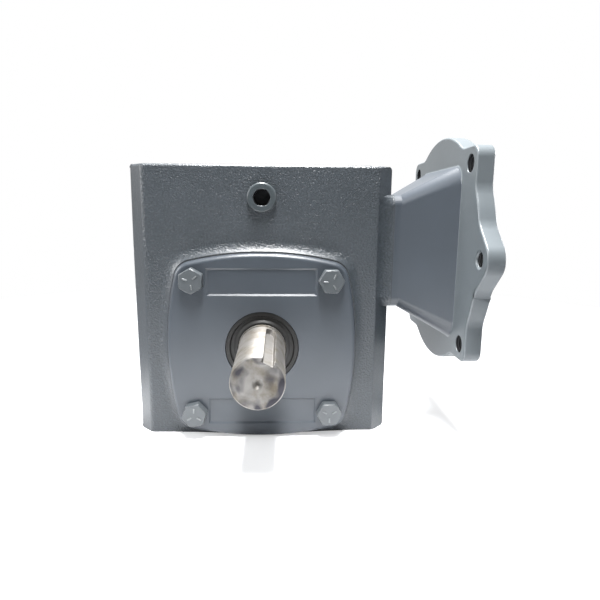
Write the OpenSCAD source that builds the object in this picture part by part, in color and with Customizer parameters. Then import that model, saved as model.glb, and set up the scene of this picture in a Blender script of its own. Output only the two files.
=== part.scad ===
// Right angle worm gear reducer with one keyed output shaft and a motor flange on the worm's side.
// Millimetres, +Z up. The origin lies on the base plane, straight below the point where the output
// shaft's axis crosses the middle plane of the worm wheel. The output shaft points to -Y and the
// motor flange to +X. The worm runs along X, above the wheel.

/* [Housing] */
// Width of the housing along the worm
housing_w = 165.2; // [156:0.2:176]
// Height of the housing
housing_h = 173.9; // [170:0.1:190]
// Depth between the rough front and back faces
housing_d = 50.4; // [50:0.2:58]
// Thickness of the front and back walls
face_wall = 6.2; // [5:0.2:8]
// Thickness of the left, right, top and bottom walls
side_wall = 7; // [6:0.2:9]
// How far the flats across the upright edges reach in from the sides and the faces
upright_flat = 9.4; // [4:0.1:10]
// Radius of the bottom corners, seen from the front
bottom_corner_r = 2; // [1:0.5:8]
// Radius of the top corners, seen from the front
top_corner_r = 2.5; // [1:0.5:6]
// Height of the raised pad under each cover
pad_rise = 2.8; // [1.5:0.1:4]
// How far the pad stands out round the cover's edge
pad_margin = 1; // [0.5:0.1:2]
// Room round the wheel in the openings that it passes through
wheel_room = 2.5; // [2:0.1:3]
// Wall round the bolts inside the housing
bolt_boss_wall = 5; // [3:0.1:6]

/* [Gears] */
// Distance between the output shaft's axis and the worm's axis
centre_distance = 60.325; // [59.8:0.025:61]
// Teeth of the worm wheel
wheel_teeth = 30; // [29:1:30]
// Module of the gearing, measured along the worm
gear_module = 3; // [2.9:0.01:3]
// Pressure angle
pressure_angle = 20; // [18:0.5:22]
// Play between the tooth flanks
flank_gap = 0.4; // [0.3:0.05:0.8]
// Face width of the worm wheel, as a share of the room between the output bearings
wheel_face_share = 1; // [0.7:0.01:1]
// Length of the worm's thread
thread_len = 58; // [50:0.5:62]

/* [Covers] */
// Half of the spacing of the cover bolts, across and up
cover_bolt_half = 43.1; // [42.5:0.1:44.5]
// Radius of the cover's corners round the bolts
cover_corner_r = 11.6; // [10:0.1:12]
// How far the cover's sides swell beyond its corners
cover_bulge = 5.1; // [3:0.1:5.4]
// Height of the covers' lower edge above the base
cover_lift = 0.5; // [0.3:0.1:3]
// Thickness of the cover's plate
cover_t = 5.6; // [5:0.1:8]
// Thickness of the cover gaskets
gasket_t = 0.4; // [0.3:0.05:0.6]
// Depth of the pilot that centres a cover in the housing
pilot_depth = 4.5; // [3:0.5:6]
// Radial width of that pilot
pilot_w = 5; // [4:0.5:7]
// Wall of the boss that carries an output bearing
bearing_boss_w = 6.5; // [5:0.5:8]
// Width of the plain panel recessed in a cover
panel_w = 69.2; // [50:0.2:69.2]
// Height of that panel
panel_h = 17.4; // [10:0.2:18]
// Distance of the panel's middle from the shaft's axis
panel_offset = 42.1; // [38:0.1:43]
// Depth of that panel
panel_depth = 0.8; // [0.4:0.1:1.2]

/* [Output shaft] */
// Diameter of the output shaft
shaft_d = 28.575; // [25.4:0.005:29]
// How far the shaft stands out from the cover's face
shaft_reach = 66.3; // [50:0.1:80]
// Diameter of the journals in the bearings and the seal
journal_d = 30; // [29.2:0.1:31]
// How far the front journal shows in front of the cover's face
journal_show = 1; // [0.5:0.1:2]
// Diameter of the wheel's seat
wheel_seat_d = 32; // [31.4:0.1:34]
// Diameter of the collar between the wheel and the front bearing
collar_d = 37; // [35:0.5:38]
// Thickness of that collar
collar_t = 3; // [2:0.5:4]
// Width of the keyway in the shaft's end
keyway_w = 6.35; // [5:0.05:7]
// Depth of that keyway below the shaft's surface
keyway_depth = 3.2; // [2.5:0.1:3.6]
// Plain length left between that keyway and the journal
keyway_land = 3.5; // [2:0.5:10]
// Turn of the keyway from the top, clockwise from the front
keyway_turn = 25; // [0:1:90]
// Chamfer of the shaft's end
shaft_chamfer = 0.8; // [0.3:0.1:1.5]
// Diameter of the centre drilled in the shaft's end
centre_drill_d = 6; // [3:0.5:8]

/* [Worm shaft] */
// Outer diameter of the hollow motor end
quill_d = 25; // [24:0.1:26]
// Bore for the motor's shaft
motor_bore_d = 15.875; // [12.7:0.005:16]
// Depth of that bore
motor_bore_depth = 46; // [40:0.5:48]
// How far the hollow end stays behind the flange's face
quill_setback = 8.2; // [6:0.1:12]
// Width of the keyway in that bore
motor_keyway_w = 4.7625; // [4:0.05:5]
// Depth of that keyway beyond the bore
motor_keyway_depth = 2.2; // [1.5:0.1:2.4]
// Step from the thread's root down to the necks beside it
neck_step = 0.6; // [0.5:0.1:1.5]
// Diameter of the shoulder against the input bearing
shoulder_d = 29; // [28:0.5:30]
// Diameter of the rear journal
rear_journal_d = 15; // [14:0.5:18]

/* [Motor flange] */
// Distance from the middle plane to the flange's back face
flange_back_x = 118.9; // [117:0.1:124]
// Thickness of the flange
flange_t = 10.3; // [9:0.1:14]
// Radius of the flange's round outline
flange_r = 73.3; // [72:0.1:76]
// Half side of the flange's square outline
flange_half = 62.5; // [62:0.1:64]
// Corner radius of that square
flange_corner_r = 7; // [5:0.5:9]
// Radius of the two side lobes
lobe_r = 11; // [10:0.5:12]
// Angle on each side where a lobe leaves the round outline
lobe_angle = 15; // [14:0.5:24]
// Radius of the circle of flange holes
flange_hole_circle_r = 74.6125; // [74:0.0125:75]
// Diameter of the four corner holes
flange_hole_d = 10.3; // [9.8:0.1:11]
// Diameter of the drilled core of the two side holes
side_hole_d = 8; // [7:0.1:8.6]
// Radius of the motor's pilot recess
motor_pilot_r = 57.15; // [56:0.05:58]
// Depth of that recess
motor_pilot_depth = 4.8; // [3:0.1:5.5]
// Half width of the adapter where it meets the housing
adapter_half_w = 24.5; // [24.4:0.1:25]
// Half height of the adapter where it meets the housing
adapter_half_h = 36; // [35:0.1:38]
// Corner radius of the adapter's foot
adapter_corner_r = 7; // [5:0.5:9]
// Thickness of the adapter's foot plate
adapter_foot_t = 4.5; // [3:0.1:6]
// Thickness of the solid end that holds the seal
adapter_end_t = 10.5; // [10:0.1:12]
// Half width of the adapter where it meets the flange
funnel_half_w = 42; // [38:0.5:44]
// Half height of the adapter where it meets the flange
funnel_half_h = 53; // [48:0.5:54]
// Corner radius of the adapter at the flange
funnel_corner_r = 11; // [8:0.5:20]
// Wall of the adapter
funnel_wall = 4.5; // [4:0.1:6]
// Height of the machined pad on the housing's side
side_pad_rise = 0.5; // [0.4:0.1:3]

/* [Bearings and seals] */
// Outer diameter of the output bearings
output_bearing_od = 55; // [54:0.1:56]
// Width of the output bearings
output_bearing_w = 13; // [12:0.1:13]
// Ball diameter of the output bearings, as a share of their rings' section
output_ball_share = 0.5712; // [0.5:0.0001:0.62]
// Outer diameter of the input bearing and its seal
input_bearing_od = 42; // [41:0.1:42.4]
// Width of the input bearing
input_bearing_w = 9; // [8:0.1:10]
// Ball diameter of the input bearing, as a share of its rings' section
input_ball_share = 0.56; // [0.5:0.0001:0.62]
// Outer diameter of the rear worm bearing
rear_bearing_od = 32; // [31:0.1:41]
// Width of the rear worm bearing
rear_bearing_w = 9; // [8:0.1:13]
// Ball diameter of the rear worm bearing, as a share of its rings' section
rear_ball_share = 0.587; // [0.5:0.0001:0.62]
// Least distance between neighbouring balls' middles, as a share of their diameter
ball_spacing = 1.47; // [1.4:0.01:1.7]
// Outer diameter of the output seal
output_seal_od = 46.5; // [44:0.1:48]
// Width of the output seal
output_seal_w = 8; // [7:0.1:8.4]
// How far the output seal sits behind the cover's face
seal_recess = 0.6; // [0.2:0.1:1.2]
// Width of the input seal
input_seal_w = 7; // [6:0.1:7.6]

/* [Fasteners and plugs] */
// Thread diameter of the cover bolts
cover_bolt_d = 9.525; // [8:0.005:9.6]
// Length of the cover bolts under the head
cover_bolt_len = 19.05; // [16:0.05:20]
// Hexagon of the cover bolts, across its flats
cover_bolt_af = 14.3; // [13:0.1:15]
// Height of the cover bolts' heads
cover_bolt_head_h = 5.9; // [5:0.1:7]
// Thread diameter of the adapter's socket screws
adapter_screw_d = 6; // [5:0.1:6]
// Length of those screws under the head
adapter_screw_len = 22; // [20:0.5:23]
// Half of the spacing of those screws across
adapter_screw_half_w = 13.5; // [13:0.1:14]
// Half of the spacing of those screws upward
adapter_screw_half_h = 25.8; // [25.5:0.1:26]
// Height of the middle of the front and back plugs above the worm's axis
plug_above_worm = 33.3; // [30:0.1:38]
// Diameter of the plugs' heads
plug_head_d = 18.3; // [17.6:0.1:20]
// Diameter of the plugs' threads
plug_thread_d = 16.6; // [14:0.1:17]
// How far the front and back plugs stand out
plug_rise = 4; // [2:0.1:5]
// Depth of the plugs' threads in the wall
plug_thread_len = 8; // [6.5:0.1:10]
// Hexagon socket of the plugs, across its flats
plug_socket_af = 9.5; // [8:0.1:10]
// Height of the drain plug's middle above the base
drain_height = 22; // [20:0.5:30]
// How far the drain plug stands out
drain_rise = 2; // [1:0.1:3]
// Distance between the mounting holes in the base, across
base_hole_span_x = 124; // [120:1:126]
// Distance between the mounting holes in the base, front to back
base_hole_span_y = 24; // [20:1:26]
// Diameter of the drilled core of the base holes
base_hole_d = 8; // [7:0.1:9]
// Depth of the base holes
base_hole_depth = 16; // [12:0.5:18]

/* [Hidden] */
$fn = 72;
// Overrun of every cut past the face that it opens
over = 1;
// Radial clearance between fixed pieces that slide together when fitted
seat_gap = 0.05;
// Clearance between pieces that turn and fixed pieces beside them
turn_gap = 0.5;
// Radial room round a bolt in a plain hole
bolt_gap = 0.35;
// Spare depth of a tapped hole past its bolt
tap_spare = 0.8;
// Metal left beyond the end of a tapped hole
tap_floor = 3.2;
// Share of a ball's diameter that a cage is wide
cage_width_share = 1.3;
// Groove depth, rise and gap of a snap ring
snap_depth = 0.7;
snap_rise = 2;
snap_split = 5;
// Share of a ball's radius at which a bearing ring's shoulder lies from the pitch circle
ring_shoulder_share = 0.65;
// Gap between a ball and its groove or pocket
ball_gap = 0.06;
// Chamfer of bearing rings, seals, covers and heads
small_chamfer = 0.6;
// Thickness of a rolled or stamped steel sheet piece
sheet_t = 1.2;
// Width of the small step that keeps a bearing ring from a cover's floor
floor_step = 4;
// Gap behind the end of each shaft
end_gap = 2;
// Room between the front bearing and the output seal
bearing_seal_gap = 1.4;
// Play of a bearing ring between its stops
ring_play = 0.3;

// Worm and wheel proportions that follow the module
wheel_pitch_r = wheel_teeth * gear_module / 2;
worm_pitch_r = centre_distance - wheel_pitch_r;
dedendum_share = 1.24;
addendum = gear_module;
dedendum = dedendum_share * gear_module;
worm_tip_r = worm_pitch_r + addendum;
worm_root_r = worm_pitch_r - dedendum;
wheel_throat_r = wheel_pitch_r + addendum;
wheel_root_r = wheel_pitch_r - dedendum;
wheel_outer_r = wheel_throat_r + gear_module / 2;
throat_clear = dedendum - addendum;
axial_pitch = PI * gear_module;
lead_share = axial_pitch / (2 * PI * worm_pitch_r);
lead_angle = atan(lead_share);
neck_r = worm_root_r - neck_step;
opening_r = wheel_outer_r + wheel_room;
rim_t = 5;
rim_r = wheel_root_r - rim_t;
rim_step = 1;
web_half = 5;
hub_wall = 8;
hub_r = wheel_seat_d / 2 + hub_wall;
hub_rim_w = 5;
wheel_key_w = 8;
wheel_key_h = 7;

// Cover outline: corner arcs round the bolts and long side arcs tangent to them
cover_half = cover_bolt_half + cover_corner_r + cover_bulge;
cover_side_r = (pow(cover_bolt_half, 2) + pow(cover_corner_r + cover_bulge, 2) - pow(cover_corner_r, 2))
    / (2 * cover_bulge);
cover_tangent_angle = atan(cover_bolt_half / (cover_side_r - cover_half + cover_bolt_half));
output_height = cover_half + cover_lift;

// Levels along the output shaft, counted from the middle plane towards the covers
rough_y = housing_d / 2;
pad_y = rough_y + pad_rise;
cover_back_y = pad_y + gasket_t;
cover_face_y = cover_back_y + cover_t;
seal_out_y = cover_face_y - seal_recess;
seal_in_y = seal_out_y - output_seal_w;
bearing_out_y = seal_in_y - bearing_seal_gap;
bearing_in_y = bearing_out_y - output_bearing_w;
boss_in_y = bearing_in_y + turn_gap;
wheel_face = wheel_face_share * 2 * bearing_in_y;
shaft_tip_y = cover_face_y + shaft_reach;
journal_tip_y = cover_face_y + journal_show;
shaft_back_y = bearing_out_y + turn_gap;
shim_t = 0.6;

// Balls of each bearing
output_ball_d = output_ball_share * (output_bearing_od - journal_d) / 2;
input_ball_d = input_ball_share * (input_bearing_od - quill_d) / 2;
rear_ball_d = rear_ball_share * (rear_bearing_od - rear_journal_d) / 2;

// Levels along the worm
half_w = housing_w / 2;
worm_z = output_height + centre_distance;
plug_height = worm_z + plug_above_worm;
side_pad_x = half_w + side_pad_rise;
adapter_x = side_pad_x + gasket_t;
adapter_floor_x = adapter_x + adapter_end_t;
flange_x = flange_back_x + flange_t;
spigot_len = 2.4;
input_ring_x = adapter_x - spigot_len - input_bearing_w;
input_seal_x = adapter_floor_x - input_seal_w - seal_recess;
quill_tip_x = flange_x - quill_setback;
rear_cap_len = 5;
rear_cap_in = 0.5;
rear_ring_x = -half_w + rear_cap_len + rear_cap_in + ring_play;
rear_tip_x = rear_ring_x - end_gap;
cheek_w = 4.2;
input_cheek_x = input_ring_x - cheek_w;
rear_cheek_x = rear_ring_x + rear_bearing_w + cheek_w;
screw_head_share = 0.83;
adapter_screw_head_r = screw_head_share * adapter_screw_d;
adapter_bore_r = input_bearing_od / 2 - floor_step;
input_snap_x = input_ring_x + input_bearing_w + seat_gap;
rear_snap_x = rear_ring_x - seat_gap - sheet_t;
bolt_in_housing = cover_bolt_len - cover_t - gasket_t;
screw_in_housing = adapter_screw_len - adapter_end_t - gasket_t;

// Colours of the real object
enamel = "#6e767d";
steel = "#b9b8b4";
bearing_steel = "#c9ccce";
bronze = "#b3863f";
iron = "#5a5a58";
black_rubber = "#232323";
paper = "#8a7f68";
black_oxide = "#2c2c2e";

// Cylinder along Y from y0 to y1
module bar_y(r, y0, y1) {
    translate([0, y1, 0])
        rotate([90, 0, 0])
            cylinder(r = r, h = y1 - y0);
}

// Cylinder along X from x0 to x1
module bar_x(r, x0, x1) {
    translate([x0, 0, 0])
        rotate([0, 90, 0])
            cylinder(r = r, h = x1 - x0);
}

// Ring along Z from 0 to its width, with chamfered outer edges
module ring(r_in, r_out, w, chamfer) {
    rotate_extrude()
        polygon([[r_in, 0], [r_out - chamfer, 0], [r_out, chamfer], [r_out, w - chamfer],
            [r_out - chamfer, w], [r_in, w]]);
}

// Rectangle with a straight cut across each corner
module cornered_rect(w, d, cut) {
    polygon([for (turn = [0:3], first = [0, 1])
        let (x = turn % 3 == 0 ? 1 : -1, y = turn < 2 ? 1 : -1, on_side = (turn + first) % 2 == 0)
            [x * (w / 2 - (on_side ? 0 : cut)), y * (d / 2 - (on_side ? cut : 0))]]);
}

module rounded_rect(w, h, r) {
    square([w - 2 * r, h], center = true);
    square([w, h - 2 * r], center = true);
    for (x = [-1, 1], y = [-1, 1])
        translate([x * (w / 2 - r), y * (h / 2 - r)])
            circle(r);
}

// Housing seen from the front: its bottom and top corners have different radii
module front_outline(w, h, r_bottom, r_top) {
    translate([-w / 2 + r_bottom, 0])
        square([w - 2 * r_bottom, r_bottom]);
    translate([-w / 2 + r_top, h - r_top])
        square([w - 2 * r_top, r_top]);
    translate([-w / 2, r_bottom])
        square([w, h - r_bottom - r_top]);
    for (x = [-1, 1]) {
        translate([x * (w / 2 - r_bottom), r_bottom])
            circle(r_bottom);
        translate([x * (w / 2 - r_top), h - r_top])
            circle(r_top);
    }
}

// Points of an arc about [cx, cy] from angle a0 to a1
function arc_points(cx, cy, r, a0, a1, steps) =
    [for (i = [0 : steps]) let (a = a0 + (a1 - a0) * i / steps) [cx + r * cos(a), cy + r * sin(a)]];

function turned(p, a) = [p[0] * cos(a) - p[1] * sin(a), p[0] * sin(a) + p[1] * cos(a)];

// Outline shared by a cover, its gasket and its pad: one corner arc and one side arc, four times.
// grow moves the whole outline outward
module cover_outline(grow) {
    t = cover_tangent_angle;
    corner = arc_points(cover_bolt_half, cover_bolt_half, cover_corner_r + grow, t, 90 - t, 10);
    side = arc_points(0, cover_half - cover_side_r, cover_side_r + grow, 90 - t, 90 + t, 16);
    inner_side = [for (i = [1 : len(side) - 2]) side[i]];
    polygon([for (turn = [0 : 90 : 270], p = concat(corner, inner_side)) turned(p, turn)]);
}

module at_cover_bolts() {
    for (x = [-1, 1], z = [-1, 1])
        translate([x * cover_bolt_half, z * cover_bolt_half])
            children();
}

// Lays a front view drawn in X and Z round the output shaft's axis, from level y0 to y1 on the
// front side, or mirrored on the back side
module on_face(y0, y1, side) {
    translate([0, side < 0 ? -y0 : y1, output_height])
        rotate([90, 0, 0])
            linear_extrude(y1 - y0)
                children();
}

// Turns a piece drawn along +Z into one on the output shaft's axis with its base at level y,
// pointing to the front (side -1) or to the back (side 1)
module along_output(y, side) {
    translate([0, side * y, output_height])
        rotate([side < 0 ? 90 : -90, 0, 0])
            children();
}

// Turns a piece drawn along +Z into one on the worm's axis with its base at x, pointing to +X
module along_worm(x) {
    translate([x, 0, worm_z])
        rotate([0, 90, 0])
            children();
}

// A bearing drawn along +Z: groove radius and pitch circle follow from its bore, outside and balls
function pitch_r(bore_d, od) = (bore_d + od) / 4;

module ball_groove(bore_d, od, w, ball_d) {
    translate([0, 0, w / 2])
        rotate_extrude()
            translate([pitch_r(bore_d, od), 0])
                circle(ball_d / 2 + ball_gap);
}

module outer_ring(bore_d, od, w, ball_d) {
    color(bearing_steel)
        difference() {
            ring(pitch_r(bore_d, od) + ring_shoulder_share * ball_d / 2, od / 2, w, small_chamfer);
            ball_groove(bore_d, od, w, ball_d);
        }
}

module inner_ring(bore_d, od, w, ball_d) {
    color(bearing_steel)
        difference() {
            ring(bore_d / 2 + seat_gap, pitch_r(bore_d, od) - ring_shoulder_share * ball_d / 2, w, 0);
            ball_groove(bore_d, od, w, ball_d);
        }
}

module at_balls(bore_d, od, w, ball_d) {
    count = floor(2 * PI * pitch_r(bore_d, od) / (ball_spacing * ball_d));
    for (i = [0 : count - 1])
        rotate(i * 360 / count)
            translate([pitch_r(bore_d, od), 0, w / 2])
                children();
}

module balls(bore_d, od, w, ball_d) {
    color(bearing_steel)
        at_balls(bore_d, od, w, ball_d)
            sphere(d = ball_d, $fn = 32);
}

// Band with a pocket round each ball
module cage(bore_d, od, w, ball_d) {
    band = ring_shoulder_share * ball_d / 4;
    color(bronze)
        difference() {
            translate([0, 0, w / 2 - cage_width_share * ball_d / 2])
                ring(pitch_r(bore_d, od) - band, pitch_r(bore_d, od) + band, cage_width_share * ball_d, 0);
            at_balls(bore_d, od, w, ball_d)
                rotate([0, 90, 0])
                    cylinder(r = ball_d / 2 + 2 * ball_gap, h = 4 * band, center = true, $fn = 32);
        }
}

// Lip seal drawn along +Z with its outer face at the top. The polygon goes up the case's outside,
// over the face, down the dust lip and the main lip on the shaft, and round the hollow behind them
module lip_seal(bore_d, od, w) {
    section = (od - bore_d) / 2;
    wall = section / 4;
    lip_r = bore_d / 2 + seat_gap;
    lip_w = section / 5;
    face_lip = w - small_chamfer;
    color(black_rubber)
        rotate_extrude()
            polygon([[od / 2, 0], [od / 2, w - small_chamfer], [od / 2 - small_chamfer, w],
                [lip_r + 2 * lip_w, w], [lip_r + 2 * lip_w, face_lip], [lip_r, face_lip],
                [lip_r, face_lip - lip_w / 2], [lip_r + lip_w, w / 2], [lip_r, w / 4],
                [lip_r + lip_w, w / 12], [lip_r + 2 * lip_w, w / 12], [lip_r + 2 * lip_w, w - 2 * wall],
                [od / 2 - wall, w - 2 * wall], [od / 2 - wall, 0]]);
}

// Garter spring that presses the seal's main lip onto the shaft
module seal_spring(bore_d, od, w) {
    section = (od - bore_d) / 2;
    wire_r = section / 10;
    color(steel)
        translate([0, 0, w / 4])
            rotate_extrude()
                translate([bore_d / 2 + 2 * seat_gap + 2 * section / 5 + wire_r, 0])
                    circle(wire_r, $fn = 24);
}

// Hexagon head and threaded shank drawn along +Z, the head's seat at 0
module hex_bolt(d, len, af, head_h) {
    top_r = af / 2 - small_chamfer / 2;
    rim_r = af / cos(30) / 2 + small_chamfer;
    color(enamel) {
        translate([0, 0, -len])
            cylinder(d = d, h = len + head_h / 2);
        intersection() {
            cylinder(d = af / cos(30), h = head_h, $fn = 6);
            rotate_extrude()
                polygon([[0, 0], [rim_r, 0], [rim_r, head_h - (rim_r - top_r) * tan(30)],
                    [top_r, head_h], [0, head_h]]);
        }
    }
}

// Socket head cap screw drawn along +Z, the head's seat at 0
module socket_screw(d, len, head_r) {
    color(black_oxide)
        difference() {
            union() {
                translate([0, 0, -len])
                    cylinder(d = d, h = len + d / 2);
                cylinder(r = head_r, h = d);
            }
            translate([0, 0, d / 2])
                cylinder(d = screw_head_share * d / cos(30), h = d, $fn = 6);
        }
}

// Pipe plug with a hexagon socket, drawn along +Z, its head's seat at 0
module socket_plug(rise) {
    rim = min(rise, plug_head_d / 2 - plug_socket_af / 2) / 3;
    socket_depth = rise + plug_thread_len / 2;
    color(enamel)
        difference() {
            union() {
                translate([0, 0, -plug_thread_len])
                    cylinder(d = plug_thread_d, h = plug_thread_len + rise / 2);
                rotate_extrude() {
                    square([plug_head_d / 2 - rim, rise]);
                    square([plug_head_d / 2, rise - rim]);
                    translate([plug_head_d / 2 - rim, rise - rim])
                        circle(rim, $fn = 32);
                }
            }
            translate([0, 0, rise - socket_depth])
                cylinder(d = plug_socket_af / cos(30), h = socket_depth + over, $fn = 6);
            translate([0, 0, rise - small_chamfer])
                cylinder(r1 = plug_socket_af / 2, r2 = plug_socket_af / 2 + small_chamfer + over,
                    h = small_chamfer + over);
        }
}

// Holes of the base, drawn as cutters from the base plane upward
module base_holes() {
    for (x = [-1, 1], y = [-1, 1])
        translate([x * base_hole_span_x / 2, y * base_hole_span_y / 2, -over])
            cylinder(d = base_hole_d, h = base_hole_depth + over);
}

module plug_port(side) {
    translate([0, side * (rough_y - face_wall - over), plug_height])
        rotate([side < 0 ? 90 : -90, 0, 0])
            cylinder(r = plug_thread_d / 2 + seat_gap, h = face_wall + 2 * over);
}

// Room for the wheel, the worm and the oil
module housing_cavity() {
    cavity_w = housing_w - 2 * side_wall;
    cavity_d = housing_d - 2 * face_wall;
    inner_flat = max(upright_flat - side_wall + (sqrt(2) - 1) * face_wall, small_chamfer);
    difference() {
        translate([0, 0, side_wall])
            linear_extrude(housing_h - 2 * side_wall)
                cornered_rect(cavity_w, cavity_d, inner_flat);
        housing_bosses();
    }
}

// Metal left standing in the cavity: bolt bosses, base bosses and the cheeks of the worm bearings
module housing_bosses() {
    base_boss_r = base_hole_d / 2 + bolt_boss_wall;
    for (side = [-1, 1])
        on_face(pad_y - bolt_in_housing - tap_spare - tap_floor, rough_y, side)
            at_cover_bolts()
                circle(cover_bolt_d / 2 + bolt_boss_wall);
    intersection() {
        for (x = [-1, 1])
            translate([x * base_hole_span_x / 2 - base_boss_r, -rough_y, 0])
                cube([2 * base_boss_r, housing_d, base_hole_depth + tap_floor]);
        outside_wheel();
    }
    cheek(-half_w, rear_cheek_x, rear_bearing_od / 2 + bolt_boss_wall);
    cheek(input_cheek_x, half_w, adapter_screw_half_h + adapter_screw_d);
}

module outside_wheel() {
    difference() {
        translate([-half_w, -rough_y, 0])
            cube([housing_w, housing_d, housing_h]);
        translate([0, 0, output_height])
            bar_y(opening_r, -rough_y - over, rough_y + over);
    }
}

// Block across the cavity round a worm bearing
module cheek(x0, x1, half_h) {
    translate([x0, -rough_y, worm_z - half_h])
        cube([x1 - x0, housing_d, 2 * half_h]);
}

module housing() {
    color(enamel)
        difference() {
            union() {
                intersection() {
                    linear_extrude(housing_h)
                        cornered_rect(housing_w, housing_d, upright_flat);
                    translate([0, rough_y, 0])
                        rotate([90, 0, 0])
                            linear_extrude(housing_d)
                                front_outline(housing_w, housing_h, bottom_corner_r, top_corner_r);
                }
                intersection() {
                    for (side = [-1, 1])
                        on_face(rough_y - face_wall / 2, pad_y, side)
                            cover_outline(pad_margin);
                    translate([-half_w, -cover_face_y, 0])
                        cube([housing_w, 2 * cover_face_y, housing_h]);
                }
                translate([half_w - upright_flat, 0, worm_z])
                    rotate([90, 0, 90])
                        linear_extrude(side_pad_rise + upright_flat)
                            rounded_rect(2 * adapter_half_w, 2 * adapter_half_h, adapter_corner_r);
            }
            housing_cavity();
            translate([0, 0, output_height])
                bar_y(opening_r, -pad_y - over, pad_y + over);
            for (side = [-1, 1]) {
                on_face(pad_y - bolt_in_housing - tap_spare, pad_y + over, side)
                    at_cover_bolts()
                        circle(cover_bolt_d / 2 + seat_gap);
                plug_port(side);
            }
            translate([0, 0, worm_z]) {
                bar_x(rear_bearing_od / 2 + seat_gap, -half_w - over, rear_cheek_x - cheek_w);
                bar_x(rear_bearing_od / 2 - 2 * sheet_t, -half_w, rear_cheek_x + over);
                bar_x(worm_tip_r + turn_gap / 2, input_cheek_x - over, half_w);
                bar_x(worm_tip_r + turn_gap, -thread_len / 2 - turn_gap, thread_len / 2 + turn_gap);
                bar_x(input_bearing_od / 2 + seat_gap, input_ring_x, side_pad_x + over);
            }
            for (y = [-1, 1], z = [-1, 1])
                translate([0, y * adapter_screw_half_w, worm_z + z * adapter_screw_half_h])
                    bar_x(adapter_screw_d / 2 + seat_gap, side_pad_x - screw_in_housing - tap_spare,
                        side_pad_x + over);
            translate([-half_w - over, 0, drain_height])
                rotate([0, 90, 0])
                    cylinder(r = plug_thread_d / 2 + seat_gap, h = side_wall + 2 * over);
            base_holes();
        }
}

// Cover drawn on the front or back side. The front one is bored through for the shaft and seal
module cover(side) {
    boss_r = output_bearing_od / 2 + bearing_boss_w;
    color(enamel)
        difference() {
            union() {
                on_face(cover_back_y, cover_face_y, side)
                    cover_outline(0);
                on_face(cover_back_y - gasket_t - pilot_depth, cover_face_y - cover_t / 2, side)
                    circle(opening_r - 2 * seat_gap);
                on_face(boss_in_y, cover_face_y - cover_t / 2, side)
                    circle(boss_r);
            }
            on_face(0, cover_back_y, side)
                difference() {
                    circle(opening_r - pilot_w);
                    circle(boss_r);
                }
            on_face(0, bearing_out_y + (side > 0 ? shim_t : 0), side)
                circle(output_bearing_od / 2 + seat_gap);
            on_face(0, side < 0 ? cover_face_y + over : cover_face_y - cover_t, side)
                circle(side < 0 ? output_seal_od / 2 + seat_gap : output_bearing_od / 2 - floor_step);
            on_face(0, cover_face_y + over, side)
                at_cover_bolts()
                    circle(cover_bolt_d / 2 + bolt_gap);
            for (z = [-1, 1])
                on_face(cover_face_y - panel_depth, cover_face_y + over, side)
                    translate([0, z * panel_offset])
                        square([panel_w, panel_h], center = true);
        }
}

module front_cover() {
    cover(-1);
}

module back_cover() {
    cover(1);
}

module cover_gasket(side) {
    color(paper)
        on_face(pad_y, cover_back_y, side)
            difference() {
                cover_outline(0);
                circle(opening_r);
                at_cover_bolts()
                    circle(cover_bolt_d / 2 + bolt_gap);
            }
}

module front_cover_gasket() {
    cover_gasket(-1);
}

module back_cover_gasket() {
    cover_gasket(1);
}

module cover_bolts(side) {
    turns = [30, 0, 12, 0];
    places = [[-1, 1], [1, 1], [-1, -1], [1, -1]];
    for (i = [0 : 3])
        along_output(cover_face_y, side)
            translate([places[i][0] * cover_bolt_half, places[i][1] * cover_bolt_half, 0])
                rotate(turns[i])
                    hex_bolt(cover_bolt_d, cover_bolt_len, cover_bolt_af, cover_bolt_head_h);
}

module front_cover_bolts() {
    cover_bolts(-1);
}

module back_cover_bolts() {
    cover_bolts(1);
}

module front_plug() {
    translate([0, -rough_y, plug_height])
        rotate([90, 0, 0])
            socket_plug(plug_rise);
}

module back_plug() {
    translate([0, rough_y, plug_height])
        rotate([-90, 0, 0])
            socket_plug(plug_rise);
}

module drain_plug() {
    translate([-half_w, 0, drain_height])
        rotate([0, -90, 0])
            socket_plug(drain_rise);
}

module output_seal() {
    along_output(seal_in_y, -1)
        lip_seal(journal_d, output_seal_od, output_seal_w);
}

module output_seal_spring() {
    along_output(seal_in_y, -1)
        seal_spring(journal_d, output_seal_od, output_seal_w);
}

module front_bearing_outer_ring() {
    along_output(bearing_in_y, -1)
        outer_ring(journal_d, output_bearing_od, output_bearing_w, output_ball_d);
}

module back_bearing_outer_ring() {
    along_output(bearing_in_y, 1)
        outer_ring(journal_d, output_bearing_od, output_bearing_w, output_ball_d);
}

// Flat steel ring that takes up the play behind the back bearing
module back_bearing_shim() {
    color(steel)
        along_output(bearing_out_y, 1)
            ring(output_bearing_od / 2 - floor_step, output_bearing_od / 2, shim_t, 0);
}

module front_bearing_inner_ring() {
    along_output(bearing_in_y, -1)
        inner_ring(journal_d, output_bearing_od, output_bearing_w, output_ball_d);
}

module back_bearing_inner_ring() {
    along_output(bearing_in_y, 1)
        inner_ring(journal_d, output_bearing_od, output_bearing_w, output_ball_d);
}

module front_bearing_balls() {
    along_output(bearing_in_y, -1)
        balls(journal_d, output_bearing_od, output_bearing_w, output_ball_d);
}

module back_bearing_balls() {
    along_output(bearing_in_y, 1)
        balls(journal_d, output_bearing_od, output_bearing_w, output_ball_d);
}

module front_bearing_cage() {
    along_output(bearing_in_y, -1)
        cage(journal_d, output_bearing_od, output_bearing_w, output_ball_d);
}

module back_bearing_cage() {
    along_output(bearing_in_y, 1)
        cage(journal_d, output_bearing_od, output_bearing_w, output_ball_d);
}

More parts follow.
